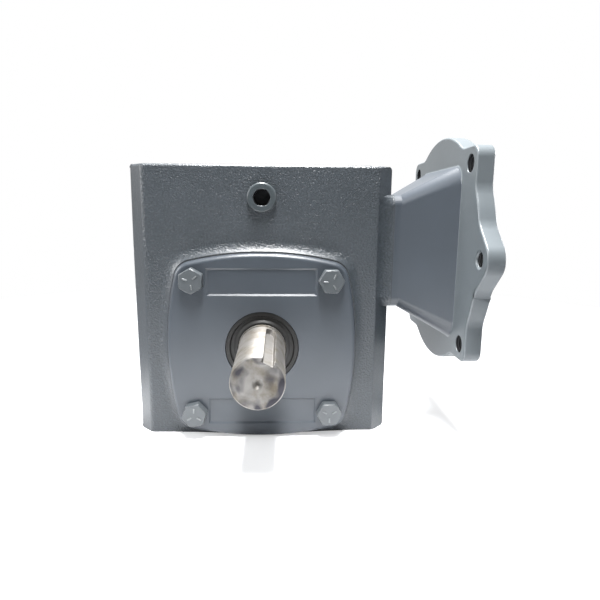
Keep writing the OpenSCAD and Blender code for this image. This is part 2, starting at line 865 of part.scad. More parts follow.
// Side lobe of the flange: a round boss on the hole circle with straight flanks to the outline
module flange_lobe() {
    start = [flange_r * cos(lobe_angle), flange_r * sin(lobe_angle)];
    to_boss = [flange_hole_circle_r, 0] - start;
    flank = atan2(to_boss[1], to_boss[0]) + asin(lobe_r / norm(to_boss));
    touch = [flange_hole_circle_r + lobe_r * sin(-flank), lobe_r * cos(flank)];
    translate([flange_hole_circle_r, 0])
        circle(lobe_r);
    polygon([start, touch, [touch[0], -touch[1]], [start[0], -start[1]]]);
}

module flange_outline() {
    circle(flange_r, $fn = 120);
    rounded_rect(2 * flange_half, 2 * flange_half, flange_corner_r);
    for (turn = [0, 180])
        rotate(turn)
            flange_lobe();
}

// Body of the adapter, its walls drawn in by inset, from the foot to the flange
module funnel(x0, inset) {
    hull() {
        along_adapter(x0)
            linear_extrude(over / 2)
                rounded_rect(2 * (adapter_half_w - inset), 2 * (adapter_half_h - inset),
                    adapter_corner_r - min(inset, adapter_corner_r / 2), $fn = 32);
        along_adapter(flange_back_x)
            linear_extrude(over / 2)
                rounded_rect(2 * (funnel_half_w - inset), 2 * (funnel_half_h - inset),
                    funnel_corner_r - inset, $fn = 32);
    }
}

// Lays a side view drawn in Y and Z on the plane at x, pointing to +X
module along_adapter(x) {
    translate([x, 0, worm_z])
        rotate([90, 0, 90])
            children();
}

module motor_flange() {
    web_t = flange_t - motor_pilot_depth;
    color(enamel)
        difference() {
            union() {
                along_adapter(flange_back_x)
                    linear_extrude(flange_t)
                        flange_outline();
                funnel(adapter_x + adapter_foot_t, 0);
                along_adapter(adapter_x)
                    linear_extrude(adapter_foot_t)
                        rounded_rect(2 * adapter_half_w, 2 * adapter_half_h, adapter_corner_r);
                along_worm(adapter_x - spigot_len)
                    cylinder(d = input_bearing_od, h = spigot_len + over);
            }
            funnel(adapter_floor_x, funnel_wall);
            along_adapter(flange_back_x)
                linear_extrude(web_t + over)
                    rounded_rect(2 * (funnel_half_w - funnel_wall), 2 * (funnel_half_h - funnel_wall),
                        funnel_corner_r - funnel_wall);
            along_worm(flange_x - motor_pilot_depth)
                cylinder(r = motor_pilot_r, h = motor_pilot_depth + over, $fn = 120);
            along_worm(input_seal_x)
                cylinder(r = input_bearing_od / 2 + seat_gap, h = adapter_end_t);
            along_worm(adapter_x - spigot_len - over)
                cylinder(r = adapter_bore_r, h = adapter_end_t);
            for (y = [-1, 1], z = [-1, 1])
                translate([0, y * adapter_screw_half_w, z * adapter_screw_half_h])
                    along_worm(adapter_x - over)
                        cylinder(r = adapter_screw_d / 2 + bolt_gap, h = adapter_end_t + 2 * over);
            for (turn = [45 : 90 : 315])
                flange_hole(turn)
                    cylinder(d = flange_hole_d, h = flange_t + 2 * over);
            for (turn = [0, 180])
                flange_hole(turn) {
                    cylinder(d = side_hole_d, h = flange_t + 2 * over);
                    countersinks(side_hole_d, flange_hole_d);
                }
        }
}

// Puts a cutter that starts one overrun behind the flange's back face on the hole circle
module flange_hole(turn) {
    along_adapter(flange_back_x - over)
        rotate(turn)
            translate([flange_hole_circle_r, 0, 0])
                children();
}

// Cones that widen a tapped hole to its mouth on both faces of the flange
module countersinks(core_d, mouth_d) {
    depth = (mouth_d - core_d) / 2;
    cylinder(d1 = mouth_d + 2 * over, d2 = core_d, h = over + depth);
    translate([0, 0, over + flange_t - depth])
        cylinder(d1 = core_d, d2 = mouth_d + 2 * over, h = over + depth);
}

module adapter_gasket() {
    color(paper)
        along_adapter(side_pad_x)
            linear_extrude(gasket_t)
                difference() {
                    rounded_rect(2 * adapter_half_w, 2 * adapter_half_h, adapter_corner_r);
                    circle(input_bearing_od / 2 + seat_gap);
                    for (y = [-1, 1], z = [-1, 1])
                        translate([y * adapter_screw_half_w, z * adapter_screw_half_h])
                            circle(adapter_screw_d / 2 + bolt_gap);
                }
}

module adapter_screws() {
    for (y = [-1, 1], z = [-1, 1])
        translate([0, y * adapter_screw_half_w, z * adapter_screw_half_h])
            along_worm(adapter_floor_x)
                socket_screw(adapter_screw_d, adapter_screw_len, adapter_screw_head_r);
}

module input_seal() {
    along_worm(input_seal_x)
        lip_seal(quill_d, input_bearing_od, input_seal_w);
}

module input_seal_spring() {
    along_worm(input_seal_x)
        seal_spring(quill_d, input_bearing_od, input_seal_w);
}

module input_bearing_outer_ring() {
    along_worm(input_ring_x)
        outer_ring(quill_d, input_bearing_od, input_bearing_w, input_ball_d);
}

module rear_bearing_outer_ring() {
    along_worm(rear_ring_x)
        outer_ring(rear_journal_d, rear_bearing_od, rear_bearing_w, rear_ball_d);
}

// Pressed steel cup that closes the rear bearing's bore, flush with the housing's side
module rear_end_cap() {
    color(steel)
        along_worm(-half_w + rear_cap_in)
            difference() {
                ring(0, rear_bearing_od / 2, rear_cap_len, small_chamfer);
                translate([0, 0, sheet_t])
                    cylinder(r = rear_bearing_od / 2 - sheet_t, h = rear_cap_len);
            }
}

// Output shaft, stepped from its keyed end at the front to the back journal
module output_shaft() {
    key_floor_r = shaft_d / 2 - keyway_depth;
    keyway_end_y = -journal_tip_y - keyway_land;
    seat_key_floor = wheel_seat_d / 2 - wheel_key_h / 2;
    color(steel)
        translate([0, 0, output_height])
            difference() {
                union() {
                    translate([0, -shaft_tip_y, 0])
                        rotate([-90, 0, 0])
                            cylinder(r1 = shaft_d / 2 - shaft_chamfer, r2 = shaft_d / 2, h = shaft_chamfer);
                    bar_y(shaft_d / 2, -shaft_tip_y + shaft_chamfer, -journal_tip_y);
                    bar_y(journal_d / 2, -journal_tip_y, shaft_back_y);
                    bar_y(wheel_seat_d / 2, -bearing_in_y, bearing_in_y);
                    bar_y(collar_d / 2, -bearing_in_y, -bearing_in_y + collar_t);
                }
                rotate([0, keyway_turn, 0]) {
                    translate([-keyway_w / 2, -shaft_tip_y - over, key_floor_r])
                        cube([keyway_w, keyway_end_y - keyway_w / 2 + shaft_tip_y + over, shaft_d]);
                    translate([0, keyway_end_y - keyway_w / 2, key_floor_r])
                        cylinder(d = keyway_w, h = shaft_d);
                }
                translate([0, -shaft_tip_y - over, 0])
                    rotate([-90, 0, 0])
                        cylinder(d1 = centre_drill_d + 2 * over, d2 = 0, h = centre_drill_d / 2 + over);
                translate([-wheel_key_w / 2 - seat_gap, -bearing_in_y + collar_t, seat_key_floor])
                    cube([wheel_key_w + 2 * seat_gap, 2 * bearing_in_y - collar_t, wheel_seat_d]);
            }
}

// Key between the output shaft and the wheel's hub
module wheel_key() {
    color(steel)
        translate([-wheel_key_w / 2, -bearing_in_y + collar_t + seat_gap,
            output_height + wheel_seat_d / 2 - wheel_key_h / 2])
            cube([wheel_key_w, 2 * bearing_in_y - collar_t - 2 * seat_gap, wheel_key_h]);
}

// Iron centre of the worm wheel: hub, web and rim seat
module wheel_hub() {
    color(iron)
        translate([0, 0, output_height])
            difference() {
                union() {
                    bar_y(hub_r, -bearing_in_y + collar_t, bearing_in_y);
                    difference() {
                        bar_y(rim_r, -bearing_in_y + rim_step, bearing_in_y - rim_step);
                        for (side = [-1, 1])
                            bar_y(rim_r - hub_rim_w, side < 0 ? -bearing_in_y : web_half,
                                side < 0 ? -web_half : bearing_in_y);
                    }
                }
                bar_y(wheel_seat_d / 2 + seat_gap, -bearing_in_y, bearing_in_y + over);
                translate([-wheel_key_w / 2 - seat_gap, -bearing_in_y, 0])
                    cube([wheel_key_w + 2 * seat_gap, 2 * bearing_in_y + over,
                        wheel_seat_d / 2 + wheel_key_h / 2 + seat_gap]);
            }
}

// Involute of the wheel's flank: polar angle at radius r from the flank's start at the base circle
base_r = wheel_pitch_r * cos(pressure_angle);
function involute_angle(r) =
    r <= base_r ? 0 : sqrt(pow(r / base_r, 2) - 1) * 180 / PI - acos(base_r / r);
// Half of the angle that a tooth fills at radius r
function half_tooth_angle(r) =
    90 / wheel_teeth - flank_gap / 4 / wheel_pitch_r * 180 / PI
    + involute_angle(wheel_pitch_r) - involute_angle(r);
FLANK_STEPS = 3;
// Outline of the space between two teeth, from one flank over the root to the other
function tooth_space() =
    let (top = wheel_outer_r + over,
        radii = [for (i = [0 : FLANK_STEPS]) top + (wheel_root_r - top) * i / FLANK_STEPS],
        left = [for (r = radii) let (a = 180 / wheel_teeth - half_tooth_angle(r)) [-r * sin(a), r * cos(a)]])
    concat(left, [for (i = [FLANK_STEPS : -1 : 0]) [-left[i][0], left[i][1]]]);

// Joins rings of points that all have the same count into one closed skin with flat ends
module skin(rings) {
    n = len(rings[0]);
    m = len(rings);
    points = [for (one = rings) each one];
    sides = [for (j = [0 : m - 2], k = [0 : n - 1])
        let (a = j * n + k, b = j * n + (k + 1) % n)
            each [[a, b + n, b], [a, a + n, b + n]]];
    polyhedron(points, concat(sides, [[for (k = [0 : n - 1]) k]],
        [[for (k = [n - 1 : -1 : 0]) (m - 1) * n + k]]));
}

// Bronze rim shrunk on the iron hub, with a throat round the worm and teeth cut at its lead angle
module worm_wheel() {
    color(bronze)
        translate([0, 0, output_height])
            difference() {
                bar_y(wheel_outer_r, -wheel_face / 2, wheel_face / 2);
                bar_y(rim_r + seat_gap, -wheel_face / 2 - over, wheel_face / 2 + over);
                rotate([90, 0, 0])
                    rotate_extrude()
                        translate([centre_distance, 0])
                            circle(r = worm_root_r + throat_clear);
                for (t = [0 : wheel_teeth - 1])
                    rotate([0, (t + 1 / 2) * 360 / wheel_teeth, 0])
                        rotate([90, 0, -lead_angle])
                            linear_extrude(height = 2 * wheel_face, center = true)
                                polygon(tooth_space());
            }
}

// Worm thread: radius at a share of one turn, 0 in the middle of the tooth's tip
TURN_STEPS = 20;
function worm_radius(share) =
    let (from_tip = min(share, 1 - share) * axial_pitch,
        flat = axial_pitch / 4 - flank_gap / 4 - addendum * tan(pressure_angle))
    from_tip <= flat ? worm_tip_r
        : max(worm_root_r, worm_tip_r - (from_tip - flat) / tan(pressure_angle));
function thread_cap(x) =
    worm_root_r + (worm_tip_r - worm_root_r) * min(1, (thread_len / 2 - abs(x)) / (axial_pitch / 2));
// Slice of the thread at distance x from the wheel's middle, turned so that a gap faces the wheel
function worm_slice(x) = [for (k = [0 : TURN_STEPS - 1])
    let (share = k / TURN_STEPS,
        r = min(worm_radius(share), thread_cap(x)),
        a = -360 * (share + x / axial_pitch))
    [x, r * sin(a), r * cos(a)]];

module worm_shaft() {
    slices = round(thread_len / axial_pitch * TURN_STEPS);
    keyway_r = motor_bore_d / 2 + motor_keyway_depth;
    color(steel)
        translate([0, 0, worm_z])
            difference() {
                union() {
                    skin([for (j = [0 : slices]) worm_slice(thread_len * (j / slices - 1 / 2))]);
                    bar_x(neck_r, rear_ring_x + rear_bearing_w, input_cheek_x);
                    bar_x(shoulder_d / 2, input_cheek_x, input_ring_x);
                    bar_x(quill_d / 2, input_ring_x, quill_tip_x);
                    bar_x(rear_journal_d / 2, rear_tip_x, 0);
                }
                bar_x(motor_bore_d / 2, quill_tip_x - motor_bore_depth, quill_tip_x + over);
                translate([quill_tip_x - motor_bore_depth, -motor_keyway_w / 2, 0])
                    cube([motor_bore_depth + over, motor_keyway_w, keyway_r]);
                snap_groove(quill_d, input_snap_x);
                snap_groove(rear_journal_d, rear_snap_x);
            }
}

module snap_groove(d, x) {
    difference() {
        bar_x(d / 2 + over, x - seat_gap, x + sheet_t + seat_gap);
        bar_x(d / 2 - snap_depth, x - over, x + sheet_t + over);
    }
}

// Split ring that sits in a groove of a shaft, drawn along +Z
module snap_ring(d) {
    color(black_oxide)
        difference() {
            ring(d / 2 - snap_depth + seat_gap, d / 2 + snap_rise, sheet_t, 0);
            translate([0, -snap_split / 2, -over])
                cube([d, snap_split, sheet_t + 2 * over]);
        }
}

module input_snap_ring() {
    along_worm(input_snap_x)
        snap_ring(quill_d);
}

module rear_snap_ring() {
    along_worm(rear_snap_x)
        snap_ring(rear_journal_d);
}

module input_bearing_inner_ring() {
    along_worm(input_ring_x)
        inner_ring(quill_d, input_bearing_od, input_bearing_w, input_ball_d);
}

module rear_bearing_inner_ring() {
    along_worm(rear_ring_x)
        inner_ring(rear_journal_d, rear_bearing_od, rear_bearing_w, rear_ball_d);
}

module input_bearing_balls() {
    along_worm(input_ring_x)
        balls(quill_d, input_bearing_od, input_bearing_w, input_ball_d);
}

module rear_bearing_balls() {
    along_worm(rear_ring_x)
        balls(rear_journal_d, rear_bearing_od, rear_bearing_w, rear_ball_d);
}

module input_bearing_cage() {
    along_worm(input_ring_x)
        cage(quill_d, input_bearing_od, input_bearing_w, input_ball_d);
}

module rear_bearing_cage() {
    along_worm(rear_ring_x)
        cage(rear_journal_d, rear_bearing_od, rear_bearing_w, rear_ball_d);
}

housing();
front_cover();
back_cover();
front_cover_gasket();
back_cover_gasket();
front_cover_bolts();
back_cover_bolts();
front_plug();
back_plug();
drain_plug();
output_seal();
output_seal_spring();
front_bearing_outer_ring();
back_bearing_outer_ring();
back_bearing_shim();
motor_flange();
adapter_gasket();
adapter_screws();
input_seal();
input_seal_spring();
input_bearing_outer_ring();
rear_bearing_outer_ring();
rear_end_cap();
output_shaft();
worm_wheel();
wheel_hub();
wheel_key();
front_bearing_inner_ring();
back_bearing_inner_ring();
worm_shaft();
input_bearing_inner_ring();
rear_bearing_inner_ring();
input_snap_ring();
rear_snap_ring();
front_bearing_balls();
front_bearing_cage();
back_bearing_balls();
back_bearing_cage();
input_bearing_balls();
input_bearing_cage();
rear_bearing_balls();
rear_bearing_cage();
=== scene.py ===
from math import atan, cos, degrees, hypot, pi, radians, sin, sqrt

import bmesh
import bpy
from mathutils import Matrix, Vector


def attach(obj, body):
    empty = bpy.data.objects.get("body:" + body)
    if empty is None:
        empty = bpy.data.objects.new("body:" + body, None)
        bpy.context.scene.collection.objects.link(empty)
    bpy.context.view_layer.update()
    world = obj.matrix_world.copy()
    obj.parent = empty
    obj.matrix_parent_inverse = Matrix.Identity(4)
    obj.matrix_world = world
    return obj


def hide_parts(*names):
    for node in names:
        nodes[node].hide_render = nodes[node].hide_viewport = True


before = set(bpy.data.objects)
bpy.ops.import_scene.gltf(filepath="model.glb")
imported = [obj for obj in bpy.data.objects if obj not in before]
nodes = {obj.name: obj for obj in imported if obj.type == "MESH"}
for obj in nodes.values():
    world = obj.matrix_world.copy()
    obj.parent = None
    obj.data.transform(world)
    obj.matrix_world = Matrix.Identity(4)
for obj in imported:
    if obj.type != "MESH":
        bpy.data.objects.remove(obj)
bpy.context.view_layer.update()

MM = 0.001

# Camera: it stands in front of the shaft, a little to the right of it, and looks slightly down. Its
# place, aim and lens are the photograph's, found from the part's own edges.
LENS_PX = 492.6
IMAGE_PX = 600
SENSOR_MM = 36
STAND_MM = Vector((11.1, -336.7, 145.4))
yaw, pitch, roll = radians(2.40), radians(10.13), radians(0.5)
ahead = Vector((sin(yaw) * cos(pitch), cos(yaw) * cos(pitch), -sin(pitch)))
level = Vector((cos(yaw), -sin(yaw), 0))
upward = level.cross(ahead)
right = cos(roll) * level + sin(roll) * upward
up = cos(roll) * upward - sin(roll) * level
lens = bpy.data.cameras.new("camera")
lens.sensor_fit = "HORIZONTAL"
lens.sensor_width = SENSOR_MM
lens.lens = LENS_PX / IMAGE_PX * SENSOR_MM
lens.clip_start = 10 * MM
camera = bpy.data.objects.new("camera", lens)
bpy.context.scene.collection.objects.link(camera)
camera.matrix_world = Matrix.Translation(STAND_MM * MM) @ Matrix((right, up, -ahead)).transposed().to_4x4()
bpy.context.scene.camera = camera

# Housing: one grey iron casting, sand cast and then machined on its pads and bores. The sand leaves
# soft edges and a pebbled skin, and the whole casting is sprayed with a blue-grey satin enamel.
SHAFT_Z = 60.3
WORM_Z = 120.625
HALF_W = 82.6
UPRIGHT_FLAT = 9.4
ROUGH_Y = 25.2
PAD_Y = 28.0
HOUSING_H = 173.9
CAST_EDGE_R, CREASE_R = 1.9, 0.85
OUTER_X, UPPER_Z = 72, 172
# Differences in mm, or in a part of a normal, that count as none, and the part of a normal that
# makes a face look straight along an axis
NEAR = 0.02
STRAIGHT = 0.99


def linear(colour):
    """Linear values of an sRGB hex colour"""
    parts = [int(colour[i:i + 2], 16) / 255 for i in (1, 3, 5)]
    return [p / 12.92 if p <= 0.04045 else ((p + 0.055) / 1.055) ** 2.4 for p in parts] + [1.0]


def add(material, kind, inputs=(), **settings):
    """Adds a shader node, sets it, and gives each named input a value or another node's output"""
    node = material.node_tree.nodes.new("ShaderNode" + kind)
    for name, value in settings.items():
        setattr(node, name, value)
    for socket, value in dict(inputs).items():
        if isinstance(value, bpy.types.NodeSocket):
            material.node_tree.links.new(value, node.inputs[socket])
        else:
            node.inputs[socket].default_value = value
    return node


def surface(material):
    """The material's own surface shader"""
    material.use_nodes = True
    return material.node_tree.nodes["Principled BSDF"]


def feed(material, socket, output):
    """Links a node's output to a socket of the surface shader"""
    material.node_tree.links.new(output, surface(material).inputs[socket])


def dress(piece, *materials):
    """Gives a piece or a CAD solid its materials"""
    if len(piece.data.materials):
        piece.data.materials.clear()
    for material in materials:
        piece.data.materials.append(material)


CREASE_ANGLE = 32
SLIVER_MM = 0.001


def new_piece(name, bm, body, slot, *materials):
    """Makes a piece from a bmesh in millimetres, without slivers and with even shading on its flats"""
    bmesh.ops.remove_doubles(bm, verts=bm.verts, dist=SLIVER_MM)
    bmesh.ops.dissolve_degenerate(bm, dist=SLIVER_MM, edges=bm.edges)
    bmesh.ops.recalc_face_normals(bm, faces=bm.faces)
    bmesh.ops.scale(bm, vec=(MM, MM, MM), verts=bm.verts)
    mesh = bpy.data.meshes.new(name)
    bm.to_mesh(mesh)
    bm.free()
    mesh.shade_smooth()
    mesh.set_sharp_from_angle(angle=radians(CREASE_ANGLE))
    piece = bpy.data.objects.new(name, mesh)
    bpy.context.scene.collection.objects.link(piece)
    weighted = piece.modifiers.new("even_flats", "WEIGHTED_NORMAL")
    weighted.keep_sharp = True
    dress(piece, *materials)
    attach(piece, body)
    return piece


SEAM_MM = 0.002
FLAT_ANGLE = 0.4
SHARP_ANGLE = 40


def solid_copy(node):
    """A CAD solid's mesh in millimetres, its seams joined and its flat faces whole"""
    bm = bmesh.new()
    bm.from_mesh(nodes[node].data)
    bmesh.ops.scale(bm, vec=(1 / MM, 1 / MM, 1 / MM), verts=bm.verts)
    bmesh.ops.remove_doubles(bm, verts=bm.verts, dist=SEAM_MM)
    bmesh.ops.dissolve_limit(bm, angle_limit=radians(FLAT_ANGLE), verts=bm.verts, edges=bm.edges)
    return bm


def round_edges(bm, picked, radius, steps=3):
    """Rounds the sharp edges that the picking function names"""
    edges = []
    for edge in bm.edges:
        if len(edge.link_faces) == 2 and edge.calc_face_angle() > radians(SHARP_ANGLE):
            middle = (edge.verts[0].co + edge.verts[1].co) / 2
            normals = [face.normal for face in edge.link_faces]
            if picked(middle, normals):
                edges.append(edge)
    bmesh.ops.bevel(bm, geom=edges, offset=radius, offset_type="OFFSET", segments=steps,
        profile=0.5, affect="EDGES", clamp_overlap=False)


# Sprayed enamel over sand-cast iron gives a satin skin with pebbles about 1.2 mm apart. Their crests carry
# painted highlights and their hollows painted shade. Paint fills the pebbles of edges and flats that
# stand at a slant, so they are smoother.
cast_enamel = bpy.data.materials.new("satin_enamel_on_cast_iron")
PEBBLE_MM, PEBBLE_RISE_MM = 1.2, 0.68
SWIRL_MM = 28
shader = surface(cast_enamel)
shader.inputs["Roughness"].default_value = 0.31
shader.inputs["IOR"].default_value = 1.52
place = add(cast_enamel, "TexCoord").outputs["Object"]
pebbles = add(cast_enamel, "TexNoise", {"Vector": place, "Scale": 1 / (PEBBLE_MM * MM), "Detail": 3.0,
    "Roughness": 0.45}).outputs["Fac"]
swirl = add(cast_enamel, "TexNoise", {"Vector": place, "Scale": 1 / (SWIRL_MM * MM),
    "Detail": 3.0}).outputs["Fac"]
tone = add(cast_enamel, "Mix", {0: swirl, 6: linear("#33383c"), 7: linear("#3c4146")}, data_type="RGBA")
# Painted shade in the pebbles' hollows and painted highlights on their crests, multiplied into the colour
hollow_painted_shade = add(cast_enamel, "MapRange", {"Value": pebbles, "From Min": 0.32, "From Max": 0.55, "To Min": 0.8,
    "To Max": 1.0}).outputs["Result"]
crest_with_painted_light = add(cast_enamel, "MapRange", {"Value": pebbles, "From Min": 0.54, "From Max": 0.7, "To Min": 1.0,
    "To Max": 1.25}).outputs["Result"]
painted_relief_light = add(cast_enamel, "Math", {0: hollow_painted_shade, 1: crest_with_painted_light}, operation="MULTIPLY").outputs[0]
shade = add(cast_enamel, "Mix", {0: 1.0, 6: tone.outputs[2], 7: painted_relief_light}, data_type="RGBA",
    blend_type="MULTIPLY")
feed(cast_enamel, "Base Color", shade.outputs[2])
normal = add(cast_enamel, "NewGeometry").outputs["Normal"]
facing = add(cast_enamel, "SeparateXYZ", {0: normal}).outputs["Y"]
level_part = add(cast_enamel, "Math", {0: facing}, operation="ABSOLUTE").outputs[0]
off_slant = add(cast_enamel, "Math", {0: level_part, 1: sqrt(0.5)}, operation="SUBTRACT").outputs[0]
apart = add(cast_enamel, "Math", {0: off_slant}, operation="ABSOLUTE").outputs[0]
unfilled = add(cast_enamel, "MapRange", {"Value": apart, "From Min": 0.05, "From Max": 0.27, "To Min": 0.15,
    "To Max": 1.0}).outputs["Result"]
skin = add(cast_enamel, "Bump", {"Height": pebbles, "Strength": unfilled, "Distance": PEBBLE_RISE_MM * MM})
feed(cast_enamel, "Normal", skin.outputs["Normal"])

# Machined land round each cover: matt, and painted dark with random smudges as painted shade, so that it
# draws a dark line round the cover
land_painted_shade = bpy.data.materials.new("land_round_the_covers_in_painted_shade")
shader = surface(land_painted_shade)
shader.inputs["Roughness"].default_value = 0.6
place = add(land_painted_shade, "TexCoord").outputs["Object"]
smudge = add(land_painted_shade, "TexNoise", {"Vector": place, "Scale": 1 / (6 * MM),
    "Detail": 3.0}).outputs["Fac"]
tone = add(land_painted_shade, "Mix", {0: smudge, 6: linear("#26282b"), 7: linear("#3a3d40")}, data_type="RGBA")
feed(land_painted_shade, "Base Color", tone.outputs[2])

bm = solid_copy("housing")


def housing_rim(middle, normals):
    """Cast edges round the front and back faces and the top"""
    on_face = abs(abs(middle.y) - ROUGH_Y) < NEAR and any(abs(n.y) > STRAIGHT for n in normals)
    outside = abs(middle.x) > OUTER_X or middle.z > UPPER_Z or middle.z < NEAR
    upright = middle.x < NEAR - HALF_W and abs(abs(middle.y) - ROUGH_Y + UPRIGHT_FLAT) < NEAR
    at_top = middle.z > HOUSING_H - NEAR and any(n.z > STRAIGHT for n in normals)
    return (on_face and outside and not beside_pad(middle, normals)) or upright or at_top


def beside_pad(middle, normals):
    """Upright creases on the right, which the adapter's pad leaves little room"""
    on_face = abs(abs(middle.y) - ROUGH_Y) < NEAR
    return middle.x > OUTER_X and on_face and all(abs(n.z) < NEAR for n in normals)


round_edges(bm, housing_rim, CAST_EDGE_R, 4)
round_edges(bm, beside_pad, CREASE_R, 3)
# The land's faces take the painted shade
for face in bm.faces:
    if abs(abs(face.calc_center_median().y) - PAD_Y) < NEAR and abs(face.normal.y) > STRAIGHT:
        face.material_index = 1
housing = new_piece("housing_casting", bm, "housing", "blue_grey_enamel", cast_enamel, land_painted_shade)
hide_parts("housing")

# Raised pads under the covers: the casting sweeps up to each machined pad in a soft hollow curve,
# which the pattern maker leaves so that the sand releases cleanly.
BOLT_HALF = 43.1
CORNER_R = 11.6
BULGE = 5.1
HALF_COVER = BOLT_HALF + CORNER_R + BULGE
SIDE_R = (BOLT_HALF ** 2 + (CORNER_R + BULGE) ** 2 - CORNER_R ** 2) / (2 * BULGE)
TANGENT = degrees(atan(BOLT_HALF / (SIDE_R - HALF_COVER + BOLT_HALF)))
CORNER_STEPS, SIDE_STEPS = 12, 24


def cover_outline(grow):
    """Points of the covers' outline about the shaft's axis, moved outward by grow"""
    quarter = []
    for i in range(CORNER_STEPS + 1):
        a = radians(TANGENT + (90 - 2 * TANGENT) * i / CORNER_STEPS)
        quarter.append((BOLT_HALF + (CORNER_R + grow) * cos(a), BOLT_HALF + (CORNER_R + grow) * sin(a)))
    for i in range(1, SIDE_STEPS):
        a = radians(90 - TANGENT + 2 * TANGENT * i / SIDE_STEPS)
        quarter.append(((SIDE_R + grow) * cos(a), HALF_COVER - SIDE_R + (SIDE_R + grow) * sin(a)))
    points = []
    for turn in range(4):
        c, s = cos(turn * pi / 2), sin(turn * pi / 2)
        points += [(x * c - z * s, x * s + z * c) for x, z in quarter]
    return points


def skin_rings(bm, rings):
    """Joins rings of points that have the same count, and the last ring to the first"""
    rows = [[bm.verts.new(p) for p in ring] for ring in rings]
    for one, other in zip(rows, rows[1:] + rows[:1]):
        for k in range(len(one)):
            n = (k + 1) % len(one)
            bm.faces.new((one[k], one[n], other[n], other[k]))


# The sweep starts just outside the cover's outline and fades out below the rough face. Its hidden
# sides are sunk in the casting.
SWEEP_MM, SWEEP_POWER, SWEEP_STEPS = 7.4, 2.2, 14
START_GROW, HIDDEN_GROW = 1.02, 0.6
FADE_MM, SUNK_MM = 0.08, 1.0
FLOOR_GAP = 0.05
for side, name in ((-1, "front_pad_sweep"), (1, "back_pad_sweep")):
    bm = bmesh.new()
    rings = []
    for i in range(SWEEP_STEPS + 1):
        t = i / SWEEP_STEPS
        rise = (PAD_Y - NEAR - ROUGH_Y + FADE_MM) * (1 - t) ** SWEEP_POWER
        rings.append((START_GROW + SWEEP_MM * t, ROUGH_Y - FADE_MM + rise))
    rings += [(START_GROW + SWEEP_MM, ROUGH_Y - SUNK_MM), (HIDDEN_GROW, ROUGH_Y - SUNK_MM),
        (HIDDEN_GROW, PAD_Y - NEAR)]
    skin_rings(bm, [[(x, side * level_y, SHAFT_Z + z) for x, z in cover_outline(grow)]
        for grow, level_y in rings])
    bmesh.ops.bisect_plane(bm, geom=bm.verts[:] + bm.edges[:] + bm.faces[:],
        plane_co=(0, 0, FLOOR_GAP), plane_no=(0, 0, -1), clear_outer=True)
    bmesh.ops.holes_fill(bm, edges=[e for e in bm.edges if e.is_boundary], sides=0)
    new_piece(name, bm, "housing", "blue_grey_enamel", cast_enamel)

# Covers: cast iron plates that carry the output bearings, machined on the back and at the bore, and
# painted with the housing. Their fronts are smoother than the housing, with two plain recessed panels.
COVER_Y = 34.0
PANEL_W, PANEL_H, PANEL_DEPTH = 69.2, 17.4, 0.8
PANEL_OFFSET, PANEL_DRAFT = 42.1, 1.2
MOUTH_R, FOOT_R = 0.3, 1.4
COVER_EDGE_R, OUTSIDE_R = 2.9, 51
BOLT_ROOM, PANEL_ROOM = 6, 0.1

# The same enamel on a smoother casting: satin with a faint orange peel and slow drifts in its tone
smooth_enamel = bpy.data.materials.new("satin_enamel_on_smooth_casting")
shader = surface(smooth_enamel)
shader.inputs["Roughness"].default_value = 0.34
shader.inputs["IOR"].default_value = 1.52
place = add(smooth_enamel, "TexCoord").outputs["Object"]
ripple = add(smooth_enamel, "TexNoise", {"Vector": place, "Scale": 1 / (3.2 * MM),
    "Detail": 2.0}).outputs["Fac"]
swirl = add(smooth_enamel, "TexNoise", {"Vector": place, "Scale": 1 / (30 * MM),
    "Detail": 4.0}).outputs["Fac"]
tone = add(smooth_enamel, "Mix", {0: swirl, 6: linear("#363b41"), 7: linear("#3c4249")}, data_type="RGBA")
feed(smooth_enamel, "Base Color", tone.outputs[2])
peel = add(smooth_enamel, "Bump", {"Height": ripple, "Strength": 0.25, "Distance": 0.12 * MM})
feed(smooth_enamel, "Normal", peel.outputs["Normal"])


def rounded_box(half_w, half_h, corner, steps=6):
    """Points of a rectangle with rounded corners about the origin"""
    points = []
    for turn, (sx, sz) in enumerate(((1, 1), (-1, 1), (-1, -1), (1, -1))):
        for i in range(steps):
            a = pi / 2 * (turn + i / (steps - 1))
            x, z = sx * (half_w - corner), sz * (half_h - corner)
            points.append((x + corner * cos(a), z + corner * sin(a)))
    return points


for side, name in ((-1, "front_cover"), (1, "back_cover")):
    bm = solid_copy(name)

    def outer_edge(middle, normals):
        """The cover's front edge, without the panels and the bolt holes"""
        out, rise = abs(middle.x), abs(middle.z - SHAFT_Z)
        in_panel = out < PANEL_W / 2 + PANEL_ROOM and rise < PANEL_OFFSET + PANEL_H / 2 + PANEL_ROOM
        at_bolt = hypot(out - BOLT_HALF, rise - BOLT_HALF) < BOLT_ROOM
        on_front = abs(side * middle.y - COVER_Y) < NEAR and any(side * n.y > STRAIGHT for n in normals)
        return on_front and hypot(out, rise) > OUTSIDE_R and not in_panel and not at_bolt

    round_edges(bm, outer_edge, COVER_EDGE_R, 6)
    cover = new_piece(name + "_casting", bm, "housing", "blue_grey_enamel", smooth_enamel)
    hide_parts(name)
    bm = bmesh.new()
    floor_y = COVER_Y - PANEL_DEPTH - NEAR
    for middle_z in (SHAFT_Z + PANEL_OFFSET, SHAFT_Z - PANEL_OFFSET):
        mouth = rounded_box(PANEL_W / 2, PANEL_H / 2, MOUTH_R)
        foot = rounded_box(PANEL_W / 2 - PANEL_DRAFT, PANEL_H / 2 - PANEL_DRAFT, FOOT_R)
        skin_rings(bm, [[(x, side * level_y, middle_z + z) for x, z in ring]
            for ring, level_y in ((mouth, COVER_Y - NEAR / 2), (foot, floor_y), (mouth, floor_y))])
    new_piece(name + "_panel_draft", bm, "housing", "blue_grey_enamel", smooth_enamel)

